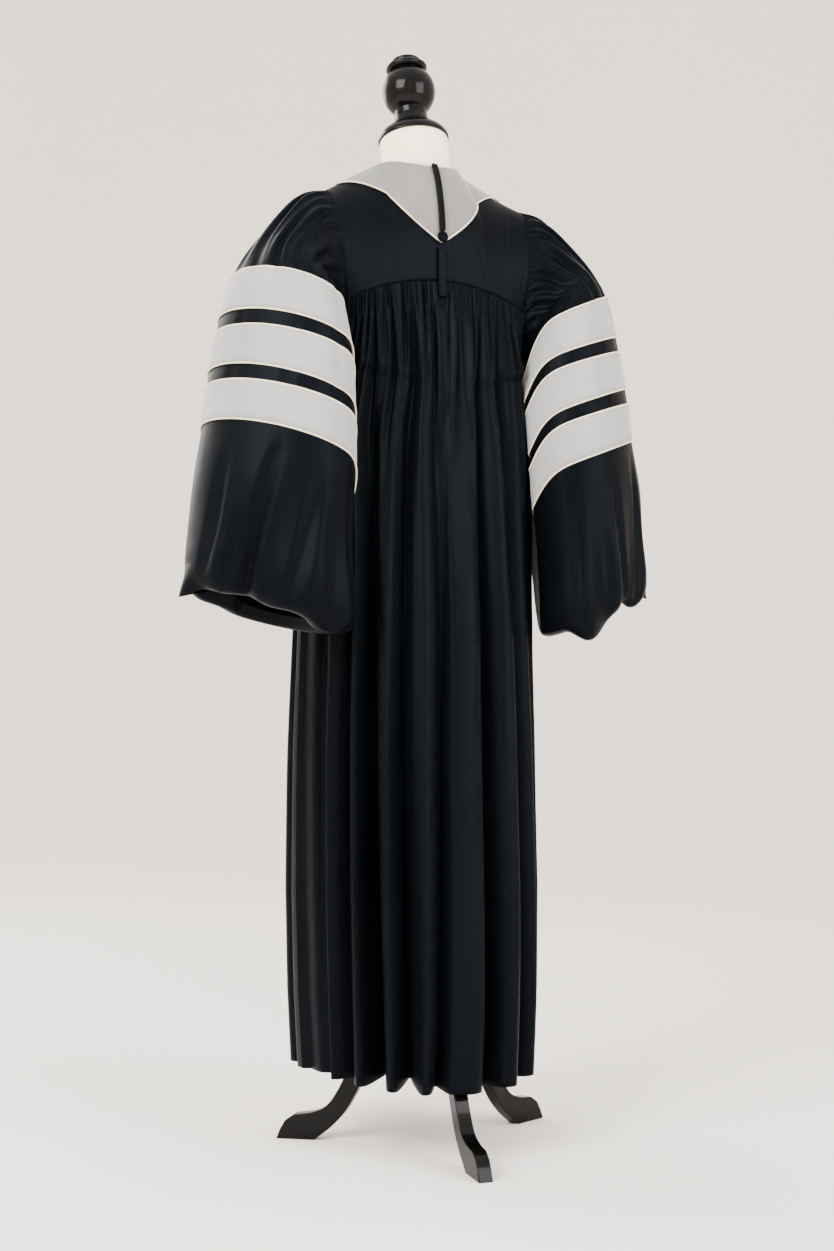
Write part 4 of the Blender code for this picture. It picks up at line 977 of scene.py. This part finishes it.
def satin_material():
    """Black satin-faced polyester: threads along the cloth, and a cool sheen."""
    material, tree, shader = new_material(
        "satin_black", Specular_IOR_Level=0.034, Specular_Tint=(0.76, 0.86, 1.0, 1.0),
        Sheen_Weight=0.003, Sheen_Roughness=0.45, Sheen_Tint=(0.52, 0.62, 0.90, 1.0),
        Anisotropic=0.35)
    threads = coordinates(tree, (1.0, 0.12, 1.0), "UV")
    weft = coordinates(tree, (0.15, 1.0, 1.0), "UV")
    place = coordinates(tree)
    long = coordinates(tree, (1.0, 1.0, 0.22))
    cloud = noise(tree, long, 9.0, 3.0)
    shader_links = (
        ("Base Color", ramp(tree, cloud.outputs["Fac"],
                            ((0.30, (0.0011, 0.0014, 0.0020)), (0.72, (0.0019, 0.0024, 0.0034))))),
        ("Roughness", span(tree, noise(tree, place, 24.0, 4.0).outputs["Fac"], 0.36, 0.50)),
        ("Normal", bumps(tree, (
            (noise(tree, threads, 2600.0, 2.0).outputs["Fac"], 0.16, 0.00020),
            (noise(tree, weft, 2200.0, 2.0).outputs["Fac"], 0.10, 0.00018),
            (noise(tree, long, 34.0, 3.0).outputs["Fac"], 0.22, 0.0032)))),
    )
    for socket, value in shader_links:
        tree.links.new(value, shader.inputs[socket])
    return material


def velvet_material(name, dark, light):
    """Grey velvet: a short upright nap, brushed in soft patches."""
    material, tree, shader = new_material(
        name, Roughness=0.92, Specular_IOR_Level=0.18, Sheen_Weight=0.55,
        Sheen_Roughness=0.35, Sheen_Tint=(0.95, 0.96, 1.0, 1.0))
    place = coordinates(tree)
    brushed = coordinates(tree, (1.0, 1.0, 0.45))
    patch = noise(tree, brushed, 17.0, 4.0, 0.6)
    tree.links.new(ramp(tree, patch.outputs["Fac"], ((0.30, dark), (0.70, light))),
                   shader.inputs["Base Color"])
    tree.links.new(bumps(tree, (
        (noise(tree, place, 1500.0, 2.0).outputs["Fac"], 0.35, 0.00045),
        (noise(tree, place, 210.0, 3.0).outputs["Fac"], 0.15, 0.00080),
        (noise(tree, brushed, 42.0, 2.0).outputs["Fac"], 0.16, 0.0022))),
        shader.inputs["Normal"])
    return material


def cord_material(name, dark, light, roughness, period):
    """A twisted or braided cord: slanting strands along its length, with painted shade in the
    grooves between them.
    """
    material, tree, shader = new_material(name, Roughness=roughness, Specular_IOR_Level=0.05)
    slant = coordinates(tree, (1.0, 1.0, 1.0), "UV")
    turned_way = node(tree, "ShaderNodeMapping", {"Vector": slant,
                                                  "Rotation": (0.0, 0.0, math.radians(40.0))})
    strands = node(tree, "ShaderNodeTexWave",
                   {"Vector": turned_way.outputs["Vector"], "Scale": 0.31 / period,
                    "Distortion": 0.4, "Detail": 1.0}, wave_type="BANDS",
                   bands_direction="Y")
    fibres = noise(tree, coordinates(tree), 1800.0, 2.0)
    # painted shade: the colour darkens where the strand bands dip into the grooves
    tree.links.new(ramp(tree, strands.outputs["Fac"], ((0.10, dark), (0.60, light))),
                   shader.inputs["Base Color"])
    tree.links.new(bumps(tree, ((strands.outputs["Fac"], 0.55, 0.00045),
                                (fibres.outputs["Fac"], 0.25, 0.00020))),
                   shader.inputs["Normal"])
    return material


def jersey_material():
    """Cream jersey stretched over the padded form."""
    material, tree, shader = new_material(
        "jersey_cream", Roughness=0.82, Specular_IOR_Level=0.25, Sheen_Weight=0.18,
        Sheen_Roughness=0.5)
    place = coordinates(tree)
    ribs = coordinates(tree, (1.0, 1.0, 0.30))
    cloud = noise(tree, place, 14.0, 4.0)
    tree.links.new(ramp(tree, cloud.outputs["Fac"],
                        ((0.30, (0.93, 0.81, 0.61)), (0.70, (0.97, 0.87, 0.68)))),
                   shader.inputs["Base Color"])
    tree.links.new(bumps(tree, (
        (noise(tree, ribs, 1300.0, 2.0).outputs["Fac"], 0.35, 0.00040),
        (noise(tree, place, 60.0, 3.0).outputs["Fac"], 0.10, 0.0012))),
        shader.inputs["Normal"])
    return material


def lacquer_material(name, along_z):
    """Gloss black lacquer over wood: faint grain, hand-rubbed unevenness."""
    material, tree, shader = new_material(
        name, Specular_IOR_Level=0.05, Coat_Weight=0.14, Coat_Roughness=0.06)
    grain = coordinates(tree, (1.0, 1.0, 0.08) if along_z else (0.25, 0.25, 1.0))
    place = coordinates(tree)
    streaks = noise(tree, grain, 120.0, 5.0, 0.6)
    tree.links.new(ramp(tree, streaks.outputs["Fac"],
                        ((0.30, (0.0012, 0.0012, 0.0014)), (0.75, (0.0030, 0.0028, 0.0028)))),
                   shader.inputs["Base Color"])
    tree.links.new(span(tree, noise(tree, place, 55.0, 4.0).outputs["Fac"], 0.14, 0.30),
                   shader.inputs["Roughness"])
    tree.links.new(bumps(tree, ((streaks.outputs["Fac"], 0.10, 0.00025),
                                (noise(tree, place, 26.0, 2.0).outputs["Fac"], 0.08, 0.0012))),
                   shader.inputs["Normal"])
    return material


def studio_material():
    """Pale matt paper for the floor and wall."""
    material, tree, shader = new_material("studio_pale", Roughness=0.9,
                                          Specular_IOR_Level=0.1)
    soft = noise(tree, coordinates(tree), 0.6, 2.0)
    tree.links.new(ramp(tree, soft.outputs["Fac"],
                        ((0.3, (0.860, 0.815, 0.765)), (0.7, (0.875, 0.830, 0.780)))),
                   shader.inputs["Base Color"])
    return material


# ---------------------------------------------------------------- the gown's pieces
# Cells of the seen sheets: in all for the yoke, for each column or row of a table for the
# panels, and round a sleeve.
YOKE_ACROSS, YOKE_DOWN = 112, 56
BACK_CELLS, FRONT_CELLS, FACING_CELLS = 6, 6, 5
BACK_SPANS = (4, 8, 14, 12, 12, 10, 10, 10, 10, 8, 10)
FRONT_SPANS = (6, 6, 6, 8, 8, 8, 8, 8, 9, 9, 9, 8, 8)
SLEEVE_FINE = 336
SLEEVE_SPANS = (12, 8, 8, 8, 6, 4, 6, 4, 6, 7, 7, 7, 8, 6, 5)


def piping_point(edge, beyond, normal):
    """Middle of the piping beside an edge point, on the side of the point beyond it."""
    return edge + normal * (PIPING_R * PIPING_RISE) \
        + (beyond - edge).normalized() * (PIPING_R * PIPING_ASIDE)


def finish_cloth(piece, nodes):
    """Attach a cloth piece to the root body and hide the solids that it replaces."""
    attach(piece, "root")
    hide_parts(*nodes)


def finish_trim(piece, nodes):
    """Attach a hard or narrow piece to the root body and hide the solids that it replaces."""
    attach(piece, "root")
    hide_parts(*nodes)


def make_yoke(cloth):
    """The smooth back yoke."""
    grid = [[yoke_fine(mix(-1.0, 1.0, j / YOKE_ACROSS), i / YOKE_DOWN)
             for j in range(YOKE_ACROSS + 1)] for i in range(YOKE_DOWN + 1)]
    piece = sheet("yoke", grid, cloth, SHELL)
    finish_cloth(piece, ["back_yoke"])


def make_back_panel(cloth):
    """The gathered back panel."""
    columns = [column[:5] for column in back_columns()]
    count = (len(columns) - 1) * BACK_CELLS
    grid = [[back_fine(columns, j / BACK_CELLS, row) for j in range(count + 1)]
            for row in fine_rows(BACK_SPANS)]
    piece = sheet("back_skirt", sway(grid), cloth, SHELL)
    finish_cloth(piece, ["back_panel"])


def make_fronts(cloth, velvet, trim):
    """Both fronts, their velvet facings and the piping along them."""
    columns = front_columns()
    last = FACING_COLUMNS + len(columns) - 1
    places = [k / FACING_CELLS for k in range(FACING_COLUMNS * FACING_CELLS)]
    wide = len(places) + 1
    places += [FACING_COLUMNS + k / FRONT_CELLS
               for k in range((last - FACING_COLUMNS) * FRONT_CELLS + 1)]
    left_grid = [[front_fine(columns, place, row) for place in places]
                 for row in fine_rows(FRONT_SPANS)]
    grids = {"left": sway([[point.copy() for point in line] for line in left_grid]),
             "right": sway(mirrored(left_grid))}
    for side, grid in grids.items():
        normals = grid_normals(grid, False)
        sign = outward_sign(grid, normals)
        piece = sheet("front_panel_" + side, grid, cloth, SHELL, sign=sign)
        finish_cloth(piece, ["front_" + side])
        facing = lift_grid([line[:wide] for line in grid], [line[:wide] for line in normals],
                           sign, BAR_OFF + PILE)
        piece = sheet("velvet_front_" + side, facing, velvet, PILE, sign=sign)
        finish_cloth(piece, ["facing_front_" + side])
        path = [piping_point(line[wide - 1], line[wide], n[wide - 1] * sign)
                for line, n in zip(grid, normals)]
        finish_trim(tube("piping_facing_" + side, path, PIPING_R, trim),
                    ["piping_front_" + side])


def make_back_facing(velvet, trim):
    """Both halves of the velvet V and the piping below them."""
    across_cells, down_cells = 40, 26
    plain = [[facing_point(j / across_cells, i / down_cells)
              for j in range(across_cells + 1)] for i in range(down_cells + 1)]
    for line in plain:
        line[0].x = GAP / 2.0
    for side in ("left", "right"):
        if side == "right":
            plain = mirrored(plain)
        normals = grid_normals(plain, False)
        sign = outward_sign(plain, normals)
        normals = [[n * sign for n in line] for line in normals]
        for line in normals:
            line[0] = Vector((0.0, line[0].y, line[0].z)).normalized()
        grid = lift_grid(plain, normals, 1.0, LIFT + PILE)
        piece = sheet("velvet_v_" + side, grid, velvet, PILE, sign=sign)
        finish_cloth(piece, ["facing_back_" + side])
        path = []
        for j in range(across_cells + 1):
            down = (plain[-1][j] - plain[-2][j]).normalized()
            path.append(plain[-1][j] + normals[-1][j] * (LIFT + PIPING_R * 0.7)
                        + down * (PIPING_R * 0.7))
        path[0].x = math.copysign(PIPING_R * 0.3, path[3].x)
        finish_trim(tube("piping_v_" + side, path, PIPING_R, trim),
                    ["piping_back_" + side])


def facing_point(across, down):
    """A point of the left half of the back V: from the neckline to its lower edge."""
    outer_share = NECK_SHARE + (1.0 - NECK_SHARE) * (
        (FACING_X - NECK_R) / (armhole(0.0).x - NECK_R))
    upper = Vector((NECK_SHARE * across, 0.0))
    lower = Vector((outer_share * across, V_TIP * (1.0 - across)))
    share, drop = upper.lerp(lower, down)
    return yoke_point(share, drop)


def make_sleeve(side, cloth, velvet, trim):
    """A bell sleeve with its three velvet bars and their piping."""
    places = fine_rows(SLEEVE_SPANS)
    grid = []
    for row in places:
        line = []
        for k in range(SLEEVE_FINE):
            angle = 360.0 * k / SLEEVE_FINE
            line.append(sleeve_fine(side, angle - 360.0 if angle > 180.0 else angle, row))
        grid.append(line)
    if side == "right":
        grid = mirrored(grid)
    normals = grid_normals(grid, True)
    sign = outward_sign(grid, normals)
    normals = [[n * sign for n in line] for line in normals]
    name = "bell_sleeve_" + side
    piece = sheet(name, grid, cloth, SHELL, closed=True, sign=sign)
    finish_cloth(piece, ["sleeve_" + side])
    for number, row in enumerate(BAR_TOPS, 1):
        first, last = places.index(float(row)), places.index(float(row + 1))
        bar = lift_grid(grid[first:last + 1], normals[first:last + 1], 1.0, BAR_OFF + PILE)
        piece = sheet("velvet_bar_{}_{}".format(side, number), bar, velvet, PILE,
                      closed=True, sign=sign)
        finish_cloth(piece, ["bar_{}_{}".format(side, number)])
        for edge, near, far in (("top", first, first - 1), ("bottom", last, last + 1)):
            path = [piping_point(grid[near][k], grid[far][k], normals[near][k])
                    for k in range(0, SLEEVE_FINE, 2)]
            finish_trim(tube("piping_bar_{}_{}_{}".format(side, number, edge), path,
                             PIPING_R, trim, closed=True),
                        ["piping_{}_{}_{}".format(side, number, edge)])


# ---------------------------------------------------------------- trim of the centre back
def centre_back(drop):
    """A point of the centre back and the outward normal there."""
    point = yoke_point(0.0, drop)
    fall = yoke_point(0.0, min(drop + 0.02, 1.0)) - yoke_point(0.0, max(drop - 0.02, 0.0))
    out = Vector((1.0, 0.0, 0.0)).cross(fall).normalized()
    return point, out if out.y > 0.0 else -out


def make_centre_back(black_cord, cloth):
    """The braided cord, the covered button and the tab below it."""
    strands = []
    for strand in range(3):
        path = []
        for k in range(CORD_STEPS + 1):
            share = k / CORD_STEPS
            point, out = centre_back(CORD_FOOT * share)
            turn = 2.0 * math.pi * (CORD_TURNS * share + strand / 3.0)
            height = CORD_OVER + CORD_STRAND_R + CORD_LIFT * (1.0 + math.sin(2.0 * turn))
            path.append(point + Vector((CORD_SWING * math.sin(turn), 0.0, 0.0))
                        + out * height)
        strands.append(tube("strand", path, CORD_STRAND_R, black_cord))
    finish_trim(join("braided_cord", strands), ["hood_cord"])

    point, out = centre_back(BUTTON_PLACE)
    place = Matrix.Translation(point) @ out.to_track_quat("Z", "Y").to_matrix().to_4x4()
    base = CORD_OVER + 0.0010
    profile = [(base, BUTTON_R * 0.78), (base + 0.0008, BUTTON_R * 0.93)]
    for k in range(9):
        turn = math.pi / 2.0 * k / 8.0
        profile.append((base + BUTTON_RIM + (BUTTON_HIGH - BUTTON_RIM) * math.sin(turn),
                        BUTTON_R * max(math.cos(turn), 0.06)))
    finish_trim(turned("covered_button", profile, 48, cloth, place), ["hood_button"])

    grid = []
    start = centre_back(TAB_TOP)[0]
    below = BACK_ROWS[2]
    for k in range(41):
        height = start.z - TAB_LONG * k / 40.0
        if height > BACK_ROWS[0][1]:
            share = (start.z - height) / (start.z - BACK_ROWS[0][1])
            point, out = centre_back(mix(TAB_TOP, 1.0, share))
        else:
            share = (BACK_ROWS[0][1] - height) / (BACK_ROWS[0][1] - below[1])
            point = Vector((0.0, mix(BACK_ROWS[0][0], below[0], share), height))
            out = Vector((0.0, 1.0, 0.0))
        line = []
        for m in range(9):
            across = mix(-1.0, 1.0, m / 8.0)
            line.append(point + Vector((across * TAB_WIDE / 2.0, 0.0, 0.0))
                        + out * (TAB_OVER + TAB_HIGH - TAB_EDGE * across ** 4))
        grid.append(line)
    piece = sheet("loop_tab", grid, cloth, TAB_HIGH * 0.9,
                  sign=1.0 if grid_normals(grid, False)[20][4].y > 0.0 else -1.0)
    finish_cloth(piece, ["hood_tab"])


# ---------------------------------------------------------------- dress form and stand
def make_form(jersey, lacquer):
    """The limbless padded form with its turned cap and finial."""
    points = []
    for k in range((len(TORSO_ROWS) - 1) * FORM_FINER + 1):
        height, half, y_back, y_front = row_at(TORSO_ROWS, k / FORM_FINER)
        middle, deep = (y_back + y_front) / 2.0, (y_back - y_front) / 2.0
        points += [Vector((*circle_point(half, m, ROUND_SIDES, middle, deep), height))
                   for m in range(ROUND_SIDES)]
    lean = Matrix.Rotation(NECK_LEAN, 4, "X")
    neck_middle = Vector((0.0, (TORSO_ROWS[-1][2] + TORSO_ROWS[-1][3]) / 2.0, NECK_FOOT_Z))
    neck_axis = (lean @ Vector((0.0, 0.0, 1.0, 0.0))).to_3d()
    neck_long = (NECK_TOP_Z - neck_middle.z) / neck_axis.z
    for along, drawn_in in NECK_RINGS:
        centre = neck_middle + neck_axis * neck_long * along
        tilt = Matrix.Rotation(NECK_LEAN * along, 3, "X")
        points += [centre + tilt @ Vector((*circle_point(NECK_FORM_R - drawn_in, m,
                                                         ROUND_SIDES), 0.0))
                   for m in range(ROUND_SIDES)]
    faces = stacked_faces(len(points) // ROUND_SIDES, ROUND_SIDES)
    body = add_piece("form_body", points, faces, jersey, sharp=50.0)
    soften(body, 0.004, 60.0)
    finish_trim(body, ["form_torso"])

    seat = Matrix.Translation(neck_middle + neck_axis * (neck_long + GAP)) @ lean
    finish_trim(turned("turned_cap", CAP_PROFILE, ROUND_SIDES, lacquer, seat, 0.0006), ["neck_cap"])
    ball_low = BALL_CENTRE - math.sqrt(BALL_R ** 2 - BALL_WAIST_R ** 2)
    start = math.acos((BALL_CENTRE - ball_low) / BALL_R)
    stop = math.pi - math.acos((KNOB_PROFILE[0][0] - BALL_CENTRE) / BALL_R)
    profile = [(CAP_PROFILE[-1][0] + GAP, CAP_PROFILE[-1][1] - 0.001)]
    for k in range(33):
        turn = mix(start, stop, k / 32.0)
        profile.append((BALL_CENTRE - BALL_R * math.cos(turn), BALL_R * math.sin(turn)))
    knob = [row for row in KNOB_PROFILE if row[0] > profile[-1][0] + 0.0005]
    profile += [tuple(row_at(knob, k / 3.0)) for k in range(3 * (len(knob) - 1) + 1)]
    finish_trim(turned("ball_finial", profile, ROUND_SIDES, lacquer, seat, 0.0004), ["finial"])


def make_stand(lacquer, leg_lacquer):
    """The hub, the pole and the three legs."""
    finish_trim(turned("hub", HUB_PROFILE, ROUND_SIDES, lacquer, bevel=0.0015), ["stand_hub"])
    pole = ((HUB_PROFILE[-1][0] + GAP, POLE_R), (TORSO_ROWS[0][0] - GAP, POLE_R))
    finish_trim(turned("pole", pole, 64, lacquer, bevel=0.0006), ["stand_pole"])
    upper = [tuple(row_at(LEG_UPPER_EDGE[:9], k / 5.0)) for k in range(41)]
    upper += list(LEG_UPPER_EDGE[9:])
    lower = [tuple(row_at(LEG_LOWER_EDGE[1:], k / 5.0)) for k in range(31)]
    outline = upper + [LEG_LOWER_EDGE[0]] + lower
    for name, angle in LEG_ANGLES.items():
        out = Vector((math.sin(math.radians(angle)), math.cos(math.radians(angle)), 0.0))
        across = Vector((out.y, -out.x, 0.0))
        points = []
        for offset in (-LEG_WIDE / 2.0, LEG_WIDE / 2.0):
            points += [out * reach + across * offset + Vector((0.0, 0.0, height))
                       for reach, height in outline]
        count = len(outline)
        faces = [tuple(range(count)), tuple(reversed(range(count, 2 * count)))]
        for k in range(count):
            n = (k + 1) % count
            faces.append((n, k, count + k, count + n))
        leg = add_piece("cabriole_leg_" + name, points, faces, leg_lacquer, sharp=30.0)
        soften(leg, 0.0016, 30.0)
        finish_trim(leg, ["leg_" + name])


# ---------------------------------------------------------------- studio
CAMERA_AZIMUTH = 155.0    # seen from behind the wearer's left shoulder
CAMERA_DISTANCE = 3.0
CAMERA_HEIGHT = 0.70
CAMERA_LENS = 55.0
CAMERA_SHIFT = (-0.0104, 0.058)
CAMERA_ROLL = 0.5


def place_camera():
    """The camera, at the height and angle of the seen view."""
    data = bpy.data.cameras.new("camera")
    data.lens = CAMERA_LENS
    data.sensor_width = 36.0
    data.shift_x, data.shift_y = CAMERA_SHIFT
    camera = bpy.data.objects.new("camera", data)
    bpy.context.collection.objects.link(camera)
    turn = math.radians(CAMERA_AZIMUTH)
    away = Vector((math.sin(turn), -math.cos(turn), 0.0))
    camera.location = POLE_AXIS + away * CAMERA_DISTANCE + Vector((0.0, 0.0, CAMERA_HEIGHT))
    look = (-away).to_track_quat("-Z", "Y").to_matrix().to_4x4()
    roll = Matrix.Rotation(math.radians(-CAMERA_ROLL), 4, "Z")
    camera.matrix_world = Matrix.Translation(camera.location) @ look @ roll
    bpy.context.scene.camera = camera


def area_light(name, azimuth, distance, height, size, power, colour):
    """A soft light, aimed at a height of the pole."""
    data = bpy.data.lights.new(name, "AREA")
    data.shape = "RECTANGLE"
    data.size, data.size_y = size
    data.energy = power
    data.color = colour
    light = bpy.data.objects.new(name, data)
    bpy.context.collection.objects.link(light)
    turn = math.radians(azimuth)
    away = Vector((math.sin(turn), -math.cos(turn), 0.0)) * distance
    place = POLE_AXIS + away + Vector((0.0, 0.0, height))
    aim = POLE_AXIS + Vector((0.0, 0.0, LIGHT_AIM)) - place
    light.matrix_world = Matrix.Translation(place) @ aim.to_track_quat("-Z", "Y").to_matrix() \
        .to_4x4()


STUDIO_R = 7.0
STUDIO_CURVE_R = 3.0
STUDIO_HIGH = 8.0
STUDIO_CURVE_STEPS = 16
SKY_COLOUR = (1.0, 0.985, 0.965, 1.0)
SKY_STRENGTH = 2.2
LIGHT_AIM = 0.9           # height that the lights point at
LIGHTS = (
    # name, azimuth, distance, height, size, power, colour
    ("key", 118.0, 3.4, 2.9, (2.2, 2.2), 320.0, (1.0, 0.99, 0.97)),
    ("fill", 205.0, 3.6, 2.0, (2.2, 2.6), 200.0, (0.93, 0.96, 1.0)),
    ("front", 20.0, 3.8, 2.6, (2.4, 2.4), 150.0, (1.0, 1.0, 1.0)),
)


def make_studio():
    """A pale round floor that curves up into a wall, open to the sky at the top."""
    profile = [(0.0, 0.0), (STUDIO_R - STUDIO_CURVE_R, 0.0)]
    for k in range(1, STUDIO_CURVE_STEPS + 1):
        turn = math.pi / 2.0 * k / STUDIO_CURVE_STEPS
        profile.append((STUDIO_R - STUDIO_CURVE_R * (1.0 - math.sin(turn)),
                        STUDIO_CURVE_R * (1.0 - math.cos(turn))))
    profile.append((STUDIO_R, STUDIO_HIGH))
    sides = ROUND_SIDES
    points = [Vector((*circle_point(radius, k, sides), height))
              for radius, height in profile[1:] for k in range(sides)]
    points.append(Vector())
    faces = [(len(points) - 1, k, (k + 1) % sides) for k in range(sides)]
    for i in range(len(profile) - 2):
        for k in range(sides):
            n = (k + 1) % sides
            faces.append((i * sides + k, (i + 1) * sides + k, (i + 1) * sides + n,
                          i * sides + n))
    add_piece("studio_floor", points, faces, studio_material(), sharp=60.0)

    world = bpy.data.worlds.new("sky")
    world.use_nodes = True
    sky = world.node_tree.nodes["Background"]
    sky.inputs["Color"].default_value = SKY_COLOUR
    sky.inputs["Strength"].default_value = SKY_STRENGTH
    bpy.context.scene.world = world
    for light in LIGHTS:
        area_light(*light)


def main():
    """Build every piece, then the studio round it."""
    place_camera()
    satin = satin_material()
    band = velvet_material("velvet_grey", *VELVET_GREY)
    bars = velvet_material("velvet_light", *VELVET_LIGHT)
    trim = cord_material("piping_cream", *PIPING_CREAM_AND_GROOVE_SHADE, roughness=0.6,
                         period=PIPING_TWIST)
    braid = cord_material("braid_black", *BRAID_BLACK_AND_GROOVE_SHADE, roughness=0.45,
                          period=BRAID_TWIST)
    lacquer = lacquer_material("lacquer_turned", True)
    leg_lacquer = lacquer_material("lacquer_legs", False)
    make_yoke(satin)
    make_back_panel(satin)
    make_fronts(satin, band, trim)
    make_back_facing(band, trim)
    for side in ("left", "right"):
        make_sleeve(side, satin, bars, trim)
    make_centre_back(braid, satin)
    make_form(jersey_material(), lacquer)
    make_stand(lacquer, leg_lacquer)
    make_studio()


main()
